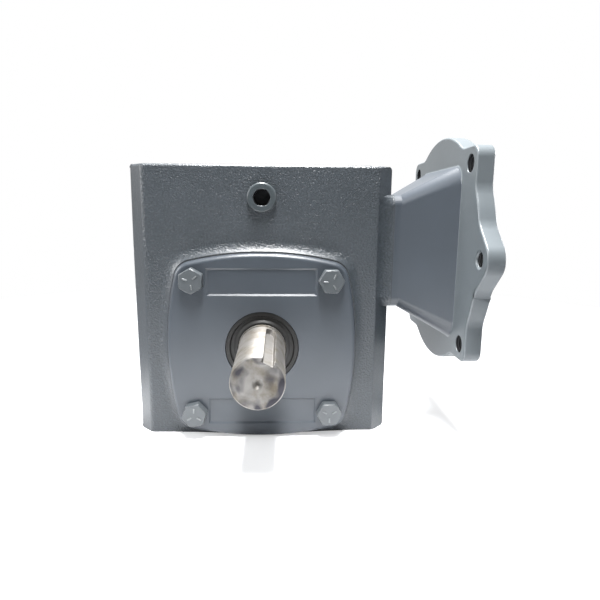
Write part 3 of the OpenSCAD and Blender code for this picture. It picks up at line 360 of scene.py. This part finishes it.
# Joint gaskets: thin fibre sheets cut to each joint, oiled and painted over at their edges. They are
# matt and dark, so only a thin line shows between the castings.
gasket = bpy.data.materials.new("painted_over_gasket_paper")
shader = surface(gasket)
shader.inputs["Roughness"].default_value = 0.85
place = add(gasket, "TexCoord").outputs["Object"]
fibres = add(gasket, "TexNoise", {"Vector": place, "Scale": 1 / (0.9 * MM),
    "Detail": 3.0}).outputs["Fac"]
tone = add(gasket, "Mix", {0: fibres, 6: linear("#2b2f33"), 7: linear("#43474a")}, data_type="RGBA")
feed(gasket, "Base Color", tone.outputs[2])
for name in ("front_cover_gasket", "back_cover_gasket", "adapter_gasket"):
    dress(nodes[name], gasket)

# Cover bolts: hexagon head cap screws of forged steel, painted over together with the covers. Three
# short ribs on each head are the steel grade's forged marks.
HEAD_TOP_Y, HEAD_EDGE_R = 39.9, 0.55
HEAD_REACH, HEAD_LIFT = 6.2, 0.5
RIB_LEN, RIB_W, RIB_RISE = 3.2, 1.0, 0.5
RIB_START = 2.0

# The heads' enamel is a little paler than the covers'
bolt_enamel = smooth_enamel.copy()
bolt_enamel.name = "paler_enamel_on_forged_heads"
bolt_tones = bolt_enamel.node_tree.nodes["Mix"].inputs
bolt_tones[6].default_value = linear("#42474a")
bolt_tones[7].default_value = linear("#4f5356")

# The ribs are rubbed bare in places, so they glint where the heads stay dull
worn_ribs = bpy.data.materials.new("rubbed_steel_ribs")
shader = surface(worn_ribs)
shader.inputs["Metallic"].default_value = 0.6
shader.inputs["Roughness"].default_value = 0.4
place = add(worn_ribs, "TexCoord").outputs["Object"]
rub = add(worn_ribs, "TexNoise", {"Vector": place, "Scale": 1 / (1.6 * MM),
    "Detail": 2.0}).outputs["Fac"]
tone = add(worn_ribs, "Mix", {0: rub, 6: linear("#53575a"), 7: linear("#8a8d8e")}, data_type="RGBA")
feed(worn_ribs, "Base Color", tone.outputs[2])


def add_rib(bm, middle, turn):
    """A raised rib with soft edges on a face that looks along Y"""
    made = bmesh.ops.create_cube(bm, size=1)["verts"]
    bmesh.ops.scale(bm, vec=(RIB_LEN, 2 * RIB_RISE, RIB_W), verts=made)
    edges = list({edge for vert in made for edge in vert.link_edges})
    made = bmesh.ops.bevel(bm, geom=edges, offset=0.6 * RIB_RISE, segments=2, profile=0.5,
        affect="EDGES", clamp_overlap=True)["verts"]
    bmesh.ops.rotate(bm, cent=(0, 0, 0), matrix=Matrix.Rotation(-turn, 3, "Y"), verts=made)
    bmesh.ops.translate(bm, vec=middle, verts=made)
    for face in {face for vert in made for face in vert.link_faces}:
        face.material_index = 1


for side, name in ((-1, "front_cover_bolts"), (1, "back_cover_bolts")):
    bm = solid_copy(name)

    def head_edge(middle, normals):
        """The head's outer edges, which the forging leaves blunt"""
        reach = hypot(abs(middle.x) - BOLT_HALF, abs(middle.z - SHAFT_Z) - BOLT_HALF)
        return side * middle.y > COVER_Y + HEAD_LIFT and reach > HEAD_REACH and abs(
            normals[0].dot(normals[1])) < 0.9

    round_edges(bm, head_edge, HEAD_EDGE_R, 2)
    out = RIB_START + RIB_LEN / 2
    for x, z, start in ((-1, 1, 40), (1, 1, 180), (-1, -1, 90), (1, -1, 30)):
        for third in range(3):
            turn = radians(start + 120 * third)
            middle_x = x * BOLT_HALF + out * cos(turn)
            middle_z = SHAFT_Z + z * BOLT_HALF + out * sin(turn)
            add_rib(bm, (middle_x, side * HEAD_TOP_Y, middle_z), turn)
    bolts = new_piece(name + "_painted", bm, "housing", "blue_grey_enamel", bolt_enamel, worn_ribs)
    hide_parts(name)

# Plugs: steel pipe plugs with hexagon sockets at the front, the back and low on the left. They are
# screwed in before the painting and stay bare inside their sockets.
PLUG_Z, DRAIN_Z = 153.925, 22.0
SOCKET_R, SOCKET_SLACK = 5.6, 0.2
PLUG_RIM_R, SOCKET_EDGE_R = 0.9, 0.35
RIM_FROM, MOUTH_TO = 7.5, 6.5

# The sockets' steel is dark, with a soft gleam and a mottled tone
dark_socket = bpy.data.materials.new("dark_socket_steel")
shader = surface(dark_socket)
shader.inputs["Metallic"].default_value = 1.0
shader.inputs["Roughness"].default_value = 0.35
place = add(dark_socket, "TexCoord").outputs["Object"]
film = add(dark_socket, "TexNoise", {"Vector": place, "Scale": 1 / (2.5 * MM),
    "Detail": 3.0}).outputs["Fac"]
tone = add(dark_socket, "Mix", {0: film, 6: linear("#1c1d1f"), 7: linear("#4a4b4d")}, data_type="RGBA")
feed(dark_socket, "Base Color", tone.outputs[2])

# The thin paint on the plugs is as dark as the covers' and a little less blue
plug_enamel = smooth_enamel.copy()
plug_enamel.name = "thin_enamel_on_the_plugs"
plug_tones = plug_enamel.node_tree.nodes["Mix"].inputs
plug_tones[6].default_value = linear("#343a3d")
plug_tones[7].default_value = linear("#3d4346")
for name, axis, plug_z in (("front_plug", 1, PLUG_Z), ("back_plug", 1, PLUG_Z), ("drain_plug", 0, DRAIN_Z)):
    bm = solid_copy(name)
    top = max(abs(vert.co[axis]) for vert in bm.verts)

    def across(spot):
        """Distance from the plug's axis"""
        return hypot(spot[1 - axis], spot.z - plug_z)

    def on_top(spot, normals):
        return abs(abs(spot[axis]) - top) < NEAR and any(abs(n[axis]) > STRAIGHT for n in normals)

    def plug_rim(spot, normals):
        return on_top(spot, normals) and across(spot) > RIM_FROM

    def socket_mouth(spot, normals):
        return on_top(spot, normals) and across(spot) < MOUTH_TO

    round_edges(bm, plug_rim, PLUG_RIM_R, 4)
    round_edges(bm, socket_mouth, SOCKET_EDGE_R, 2)
    for face in bm.faces:
        if across(face.calc_center_median()) < SOCKET_R - SOCKET_SLACK and all(
                across(vert.co) < SOCKET_R for vert in face.verts):
            face.material_index = 1
    plug = new_piece(name + "_painted", bm, "housing", "blue_grey_enamel", plug_enamel, dark_socket)
    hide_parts(name)

# Rear end cap: a thin steel disc pressed into the housing's left side behind the worm's rear bearing,
# and sprayed together with the casting.
bm = solid_copy("rear_end_cap")
end_cap = new_piece("rear_end_cap_painted", bm, "housing", "blue_grey_enamel", smooth_enamel)
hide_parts("rear_end_cap")

# Output seal: a moulded nitrile rubber ring, pressed into the cover, with a flat outer land, a groove
# and a dust lip that rides on the shaft. The rubber is black with a dull, even sheen and a fine grain.
rubber = bpy.data.materials.new("moulded_black_nitrile")
shader = surface(rubber)
shader.inputs["Roughness"].default_value = 0.45
shader.inputs["IOR"].default_value = 1.45
place = add(rubber, "TexCoord").outputs["Object"]
bloom = add(rubber, "TexNoise", {"Vector": place, "Scale": 1 / (6 * MM), "Detail": 4.0}).outputs["Fac"]
tone = add(rubber, "Mix", {0: bloom, 6: linear("#0b0b0a"), 7: linear("#181716")}, data_type="RGBA")
feed(rubber, "Base Color", tone.outputs[2])
grain = add(rubber, "TexNoise", {"Vector": place, "Scale": 1 / (0.7 * MM)}).outputs["Fac"]
skin = add(rubber, "Bump", {"Height": grain, "Strength": 0.2, "Distance": 0.05 * MM})
feed(rubber, "Normal", skin.outputs["Normal"])


def lathe_along_y(bm, profile, middle_z, steps=96):
    """Turns a closed outline of (radius, y) points about an axis along Y"""
    rings = []
    for r, y in profile:
        rings.append([(r * cos(2 * pi * k / steps), y, middle_z + r * sin(2 * pi * k / steps))
            for k in range(steps)])
    skin_rings(bm, rings)


SEAL_OUTLINE = ((23.25, -25.4), (23.25, -33.0), (22.9, -33.4), (20.6, -33.4), (20.3, -33.1),
    (20.1, -32.3), (19.7, -32.1), (18.2, -32.1), (17.7, -32.4), (16.6, -33.2), (16.0, -33.5),
    (15.4, -33.5), (15.1, -33.2), (15.1, -32.8), (16.2, -31.4), (16.4, -29.4), (15.1, -27.6),
    (16.0, -26.2), (17.2, -26.2), (17.4, -30.0), (21.2, -30.6), (21.4, -25.4))
bm = bmesh.new()
lathe_along_y(bm, SEAL_OUTLINE, SHAFT_Z)
seal = new_piece("output_seal_rubber", bm, "housing", "seal_rubber", rubber)
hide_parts("output_seal")
dress(nodes["input_seal"], rubber)

# Shafts: turned and ground carbon steel under a thin film of brownish oil. The grinding leaves fine
# lines round the shaft and rings on its end, and handling has dented the end. Dark patches on the end
# are painted reflection.
TIP_Y = -100.3
END_EDGE_R, SHOWN_FROM_Y = 0.18, -34.8

# The lines spread the gloss across the shaft, and the oil stains it warm and uneven. Real grinding lines
# are about 0.1 mm apart and are drawn coarser, so that they show.
ground_steel = bpy.data.materials.new("ground_carbon_steel")
LINE_MM, STAIN_MM, DENT_AND_PATCH_MM, DENT_DEPTH_MM = 0.45, 9, 13, 1.6
shader = surface(ground_steel)
shader.inputs["Metallic"].default_value = 1.0
shader.inputs["Anisotropic"].default_value = 0.55
shader.inputs["Anisotropic Rotation"].default_value = 0.25
feed(ground_steel, "Tangent", add(ground_steel, "Tangent", direction_type="RADIAL", axis="Y").outputs[0])
place = add(ground_steel, "TexCoord").outputs["Object"]
axes = add(ground_steel, "SeparateXYZ", {0: place}).outputs
above = add(ground_steel, "Math", {0: axes["Z"], 1: SHAFT_Z * MM}, operation="SUBTRACT").outputs[0]
flat = add(ground_steel, "CombineXYZ", {"X": axes["X"], "Z": above}).outputs[0]
reach = add(ground_steel, "VectorMath", {0: flat}, operation="LENGTH").outputs["Value"]
along = add(ground_steel, "Math", {0: axes["Y"], 1: reach}, operation="ADD").outputs[0]
lines = add(ground_steel, "TexNoise", {"W": along, "Scale": 1 / (LINE_MM * MM), "Detail": 3.0},
    noise_dimensions="1D").outputs["Fac"]
stain = add(ground_steel, "TexNoise", {"Vector": place, "Scale": 1 / (STAIN_MM * MM), "Detail": 4.0,
    "Roughness": 0.6}).outputs["Fac"]
film = add(ground_steel, "MapRange", {"Value": stain, "From Min": 0.45, "From Max": 0.7}).outputs["Result"]
tone = add(ground_steel, "Mix", {0: film, 6: linear("#83817e"), 7: linear("#6b655b")}, data_type="RGBA")
at_end = add(ground_steel, "MapRange", {"Value": axes["Y"], "From Min": (TIP_Y + 0.4) * MM,
    "From Max": (TIP_Y + 0.1) * MM})
dent_and_dark_patch = add(ground_steel, "TexNoise", {"Vector": place, "Scale": 1 / (DENT_AND_PATCH_MM * MM), "Detail": 1.0,
    "Distortion": 1.2})
dark_part = add(ground_steel, "MapRange", {"Value": dent_and_dark_patch.outputs["Fac"], "From Min": 0.42,
    "From Max": 0.58})
# Painted reflection: dark patches of the room on the shaft's end, laid over the dents
painted_dark_reflection = add(ground_steel, "Math", {0: at_end.outputs["Result"], 1: dark_part.outputs["Result"]},
    operation="MULTIPLY").outputs[0]
end_tone = add(ground_steel, "Mix", {0: painted_dark_reflection, 6: tone.outputs[2], 7: linear("#47464b")},
    data_type="RGBA")
feed(ground_steel, "Base Color", end_tone.outputs[2])
dull = add(ground_steel, "MapRange", {"Value": stain, "From Min": 0.3, "From Max": 0.7, "To Min": 0.56,
    "To Max": 0.7}).outputs["Result"]
feed(ground_steel, "Roughness", dull)
turned = add(ground_steel, "Bump", {"Height": lines, "Strength": 0.35, "Distance": 0.012 * MM})
uneven = add(ground_steel, "Bump", {"Height": dent_and_dark_patch.outputs["Fac"], "Strength": at_end.outputs["Result"],
    "Distance": DENT_DEPTH_MM * MM, "Normal": turned.outputs[0]})
feed(ground_steel, "Normal", uneven.outputs[0])

bm = solid_copy("output_shaft")


def shown_end(middle, normals):
    """Edges of the end and the keyway outside the cover"""
    return middle.y < SHOWN_FROM_Y and abs(normals[0].dot(normals[1])) < 0.8


round_edges(bm, shown_end, END_EDGE_R, 2)
shaft = new_piece("output_shaft_ground", bm, "output_train", "ground_steel", ground_steel)
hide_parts("output_shaft")

for name in ("wheel_key", "worm_shaft", "back_bearing_shim", "output_seal_spring", "input_seal_spring"):
    dress(nodes[name], ground_steel)

# Motor flange: one casting that bolts to the housing's side and opens from a narrow foot to the round
# motor face. Its lobes run out of the rim in soft hollows; its side holes are tapped and left bare.
FLANGE_BACK, FLANGE_FACE = 118.9, 129.2
FLANGE_RIM_FROM, LOBE_FROM = 60, 65
ROOT_HALF_W, ROOT_HALF_H = 46, 57
HOLE_CIRCLE_R, HOLE_ROOM, BORE_ROOM = 74.6125, 6.5, 5.6
THREAD_PITCH_MM, THREAD_DEPTH_MM = 1.5875, 0.5
HOLLOW_ANGLE, HOLLOW_MM = radians(12), 4.0
FLANGE_EDGE_R, HOLE_EDGE_R, ROOT_R = 1.1, 0.4, 2.5
BORE_GAP, BORE_SLANT, FUNNEL_GAP = 0.3, 0.2, 0.6
TAPPED_SLOT, FUNNEL_SLOT = 1, 2

# Bare iron in the tapped holes, painted dark as painted shade, with painted highlights on the thread crests
# and painted shade in their roots
tapped = bpy.data.materials.new("tapped_iron_in_painted_shade")
shader = surface(tapped)
shader.inputs["Metallic"].default_value = 0.5
shader.inputs["Roughness"].default_value = 0.6
place = add(tapped, "TexCoord").outputs["Object"]
axes = add(tapped, "SeparateXYZ", {0: place}).outputs
turns = add(tapped, "Math", {0: axes["X"], 1: 2 * pi / (THREAD_PITCH_MM * MM)},
    operation="MULTIPLY").outputs[0]
crest_with_painted_light = add(tapped, "Math", {0: turns}, operation="SINE").outputs[0]
tone = add(tapped, "Mix", {0: crest_with_painted_light, 6: linear("#141517"), 7: linear("#3c3f42")}, data_type="RGBA")
feed(tapped, "Base Color", tone.outputs[2])
threads = add(tapped, "Bump", {"Height": crest_with_painted_light, "Strength": 1.0, "Distance": THREAD_DEPTH_MM * MM})
feed(tapped, "Normal", threads.outputs["Normal"])

# The flange's enamel is the covers' paint in a paler grey, as painted light, with the same orange peel
flange_enamel_painted_lighter = smooth_enamel.copy()
flange_enamel_painted_lighter.name = "satin_enamel_painted_lighter_on_the_flange"
painted_light_flange_tones = flange_enamel_painted_lighter.node_tree.nodes["Mix"].inputs
painted_light_flange_tones[6].default_value = linear("#53595d")
painted_light_flange_tones[7].default_value = linear("#5d6366")

bm = solid_copy("motor_flange")
hole_spots = [(HOLE_CIRCLE_R * cos(radians(a)), WORM_Z + HOLE_CIRCLE_R * sin(radians(a)))
    for a in (0, 45, 135, 180, 225, 315)]


def from_axis(spot):
    return hypot(spot.y, spot.z - WORM_Z)


def near_hole(spot, room):
    return any(hypot(spot.y - y, spot.z - z) < room for y, z in hole_spots)


def on_flat_side(middle, normals):
    """On the flange's back or on its motor face"""
    at_side = min(abs(middle.x - FLANGE_BACK), abs(middle.x - FLANGE_FACE)) < NEAR
    return at_side and any(abs(n.x) > STRAIGHT for n in normals)


def flange_rim(middle, normals):
    return from_axis(middle) > FLANGE_RIM_FROM and on_flat_side(middle, normals) and not near_hole(
        middle, HOLE_ROOM)


def hole_mouth(middle, normals):
    return near_hole(middle, HOLE_ROOM) and on_flat_side(middle, normals)


def funnel_root(middle, normals):
    """Where the funnel runs into the flange's back"""
    in_root = abs(middle.y) < ROOT_HALF_W and abs(middle.z - WORM_Z) < ROOT_HALF_H
    return in_root and abs(middle.x - FLANGE_BACK) < NEAR and any(n.x < -STRAIGHT for n in normals)


def lobe_hollow(edge):
    """Where the side of a lobe meets the round rim at an inward angle"""
    if len(edge.link_faces) != 2 or edge.calc_face_angle_signed() >= -HOLLOW_ANGLE:
        return False
    return all(abs(face.normal.x) < NEAR / 2 for face in edge.link_faces) and all(
        from_axis(vert.co) > LOBE_FROM for vert in edge.verts)


hollows = [edge for edge in bm.edges if lobe_hollow(edge)]
bmesh.ops.bevel(bm, geom=hollows, offset=HOLLOW_MM, offset_type="OFFSET", segments=5, profile=0.5,
    affect="EDGES", clamp_overlap=True)
round_edges(bm, flange_rim, FLANGE_EDGE_R, 3)
round_edges(bm, hole_mouth, HOLE_EDGE_R, 2)
round_edges(bm, funnel_root, ROOT_R, 4)
# Painted light and shade: the funnel takes the covers' darker enamel and the rim the paler copy of one
# paint
for face in bm.faces:
    spot = face.calc_center_median()
    in_hole = near_hole(spot, BORE_ROOM) and spot.x > FLANGE_BACK + BORE_GAP
    if in_hole and abs(face.normal.x) < BORE_SLANT:
        face.material_index = TAPPED_SLOT
    elif spot.x < FLANGE_BACK - FUNNEL_GAP:
        face.material_index = FUNNEL_SLOT
flange = new_piece("motor_flange_casting", bm, "housing", "blue_grey_enamel", flange_enamel_painted_lighter, tapped,
    smooth_enamel)
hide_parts("motor_flange")

# Adapter screws and snap rings: screws of alloy steel and rings stamped from spring steel, fitted
# bare. Their black oxide is nearly black, with a thin patina and a low gleam.
black_oxide = bpy.data.materials.new("black_oxide_on_alloy_steel")
shader = surface(black_oxide)
shader.inputs["Metallic"].default_value = 1.0
shader.inputs["Roughness"].default_value = 0.4
place = add(black_oxide, "TexCoord").outputs["Object"]
patina = add(black_oxide, "TexNoise", {"Vector": place, "Scale": 1 / (1.5 * MM),
    "Detail": 3.0}).outputs["Fac"]
tone = add(black_oxide, "Mix", {0: patina, 6: linear("#232325"), 7: linear("#38383b")}, data_type="RGBA")
feed(black_oxide, "Base Color", tone.outputs[2])
for name in ("adapter_screws", "input_snap_ring", "rear_snap_ring"):
    dress(nodes[name], black_oxide)

# Bearings: rings and balls of hardened chrome steel, ground and polished, with cages stamped from
# brass strip. The steel mirrors brightly under smears of oil, and the brass is warm and duller.
chrome_steel = bpy.data.materials.new("polished_chrome_steel")
shader = surface(chrome_steel)
shader.inputs["Metallic"].default_value = 1.0
place = add(chrome_steel, "TexCoord").outputs["Object"]
smear = add(chrome_steel, "TexNoise", {"Vector": place, "Scale": 1 / (4 * MM),
    "Detail": 2.0}).outputs["Fac"]
tone = add(chrome_steel, "Mix", {0: smear, 6: linear("#c4c8cb"), 7: linear("#d5d8da")}, data_type="RGBA")
feed(chrome_steel, "Base Color", tone.outputs[2])
feed(chrome_steel, "Roughness", add(chrome_steel, "MapRange", {"Value": smear, "To Min": 0.08,
    "To Max": 0.2}).outputs["Result"])

brass = bpy.data.materials.new("stamped_brass")
shader = surface(brass)
shader.inputs["Metallic"].default_value = 1.0
shader.inputs["Roughness"].default_value = 0.32
place = add(brass, "TexCoord").outputs["Object"]
smear = add(brass, "TexNoise", {"Vector": place, "Scale": 1 / (3 * MM), "Detail": 3.0}).outputs["Fac"]
tone = add(brass, "Mix", {0: smear, 6: linear("#b8933f"), 7: linear("#d3ad58")}, data_type="RGBA")
feed(brass, "Base Color", tone.outputs[2])
for bearing in ("front_bearing", "back_bearing", "input_bearing", "rear_bearing"):
    for part in ("_outer_ring", "_inner_ring", "_balls"):
        dress(nodes[bearing + part], chrome_steel)
    dress(nodes[bearing + "_cage"], brass)

# Worm wheel: a centrifugally cast tin bronze rim, cut to mesh with the worm and shrunk on a hub of
# cast iron. The bronze is a warm satin yellow, and the machined iron is grey with dark flakes.
bronze = bpy.data.materials.new("cut_tin_bronze")
shader = surface(bronze)
shader.inputs["Metallic"].default_value = 1.0
shader.inputs["Roughness"].default_value = 0.36
place = add(bronze, "TexCoord").outputs["Object"]
smear = add(bronze, "TexNoise", {"Vector": place, "Scale": 1 / (2.2 * MM), "Detail": 4.0}).outputs["Fac"]
tone = add(bronze, "Mix", {0: smear, 6: linear("#a5793a"), 7: linear("#bf9150")}, data_type="RGBA")
feed(bronze, "Base Color", tone.outputs[2])
dress(nodes["worm_wheel"], bronze)

bare_iron = bpy.data.materials.new("machined_grey_iron")
shader = surface(bare_iron)
shader.inputs["Metallic"].default_value = 1.0
shader.inputs["Roughness"].default_value = 0.55
place = add(bare_iron, "TexCoord").outputs["Object"]
flakes = add(bare_iron, "TexNoise", {"Vector": place, "Scale": 1 / (1.2 * MM),
    "Detail": 4.0}).outputs["Fac"]
tone = add(bare_iron, "Mix", {0: flakes, 6: linear("#4f4f4e"), 7: linear("#6c6b69")}, data_type="RGBA")
feed(bare_iron, "Base Color", tone.outputs[2])
dress(nodes["wheel_hub"], bare_iron)

# Table: a round sheet of matt white paper, whose colour is a painted pool of light: pale near the part
# and dark grey further out, so that only the near paper throws light back on the part. Near the part
# it takes shadows and colour from the lamps, and further out it's plain white like the room, so that its
# edge doesn't show.
TABLE_MM, BELOW_MM = 1300, 0.1
POOL_X, POOL_Y = -18, -70
POOL_R, FADED_R = 115, 250
POOL_GLOW, FAR_GLOW, MIRRORED_GLOW = 0.42, 0.9, 0.4
bm = bmesh.new()
bmesh.ops.create_circle(bm, cap_ends=True, cap_tris=False, segments=96, radius=TABLE_MM / 2)
bmesh.ops.scale(bm, vec=(MM, MM, MM), verts=bm.verts)
mesh = bpy.data.meshes.new("table")
bm.to_mesh(mesh)
bm.free()
table = bpy.data.objects.new("table", mesh)
bpy.context.scene.collection.objects.link(table)
table.location.z = -BELOW_MM * MM

white_table = bpy.data.materials.new("white_paper_with_painted_pool_of_light")
shader = surface(white_table)
shader.inputs["Roughness"].default_value = 0.7
shader.inputs["Specular IOR Level"].default_value = 0.2
place = add(white_table, "TexCoord").outputs["Object"]
from_pool = add(white_table, "VectorMath", {0: place, 1: (POOL_X * MM, POOL_Y * MM, 0)},
    operation="DISTANCE").outputs["Value"]
falloff = add(white_table, "MapRange", {"Value": from_pool, "From Min": POOL_R * MM,
    "From Max": FADED_R * MM}, interpolation_type="SMOOTHSTEP").outputs["Result"]
tone = add(white_table, "Mix", {0: falloff, 6: linear("#e2e3e5"), 7: linear("#606265")}, data_type="RGBA")
feed(white_table, "Base Color", tone.outputs[2])
dress(table, white_table)

# The glow is only seen and mirrored: it lights nothing
rays = add(white_table, "LightPath").outputs
sheen = add(white_table, "Math", {0: rays["Is Glossy Ray"], 1: MIRRORED_GLOW}, operation="MULTIPLY")
direct = add(white_table, "Math", {0: rays["Is Camera Ray"], 1: rays["Is Transmission Ray"]},
    operation="MAXIMUM")
seen = add(white_table, "Math", {0: direct.outputs[0], 1: sheen.outputs[0]}, operation="MAXIMUM")
edge = add(white_table, "MapRange", {"Value": falloff, "To Min": POOL_GLOW,
    "To Max": FAR_GLOW}).outputs["Result"]
lift = add(white_table, "Math", {0: seen.outputs[0], 1: edge}, operation="MULTIPLY").outputs[0]
glow = add(white_table, "Emission", {"Color": linear("#ffffff"), "Strength": lift})
both = add(white_table, "AddShader", {0: shader.outputs[0], 1: glow.outputs[0]})
white_table.node_tree.links.new(both.outputs[0], white_table.node_tree.nodes["Material Output"].inputs[0])

# Room: plain white where it's seen, and a dim even fill as light. What is glossy mirrors it bright at
# the back and dim at the front.
FRONT_GLOSS, BACK_GLOSS, FILL_LIGHT = 0.12, 0.8, 0.045
world = bpy.data.worlds.new("white_room")
bpy.context.scene.world = world
world.use_nodes = True
rays = add(world, "LightPath").outputs
seen = add(world, "Math", {0: rays["Is Camera Ray"], 1: rays["Is Transmission Ray"]},
    operation="MAXIMUM")
direction = add(world, "TexCoord").outputs["Generated"]
axes = add(world, "SeparateXYZ", {0: direction}).outputs
gloss = add(world, "MapRange", {"Value": axes["Y"], "From Min": -1.0, "From Max": 0.2,
    "To Min": FRONT_GLOSS, "To Max": BACK_GLOSS}).outputs["Result"]
mirrored = add(world, "Math", {0: rays["Is Glossy Ray"], 1: gloss}, operation="MULTIPLY").outputs[0]
shown = add(world, "Math", {0: seen.outputs[0], 1: mirrored}, operation="MAXIMUM").outputs[0]
fill = add(world, "Math", {0: shown, 1: FILL_LIGHT}, operation="MAXIMUM").outputs[0]
room = world.node_tree.nodes["Background"]
room.inputs["Color"].default_value = linear("#ffffff")
world.node_tree.links.new(fill, room.inputs["Strength"])

# Lamps: one wide softbox overhead and weaker ones at the sides, as round a product table. Each has its
# size and place in metres, its power in watts and the spot that it's aimed at.
for name, size, watts, spot, aim in (
        ("softbox_above", (1.0, 0.2), 62.0, (0.02, -0.05, 1.0), (0.0, -0.05, 0.0)),
        ("softbox_left", (0.6, 0.6), 9.0, (-0.95, -0.2, 0.5), (0.02, -0.02, 0.08)),
        ("softbox_right", (0.5, 0.5), 2.4, (0.9, -0.45, 0.35), (0.0, -0.02, 0.05)),
        ("softbox_far_right", (0.6, 0.6), 9.0, (0.95, 0.3, 0.3), (0.0, 0.0, 0.08))):
    lamp = bpy.data.lights.new(name, "AREA")
    lamp.shape = "RECTANGLE"
    lamp.size, lamp.size_y = size
    lamp.energy = watts
    light = bpy.data.objects.new(name, lamp)
    bpy.context.scene.collection.objects.link(light)
    light.location = spot
    light.rotation_euler = (Vector(aim) - Vector(spot)).to_track_quat("-Z", "Y").to_euler()

# Tones leave the render as they are, without a film curve
bpy.context.scene.view_settings.view_transform = "Standard"
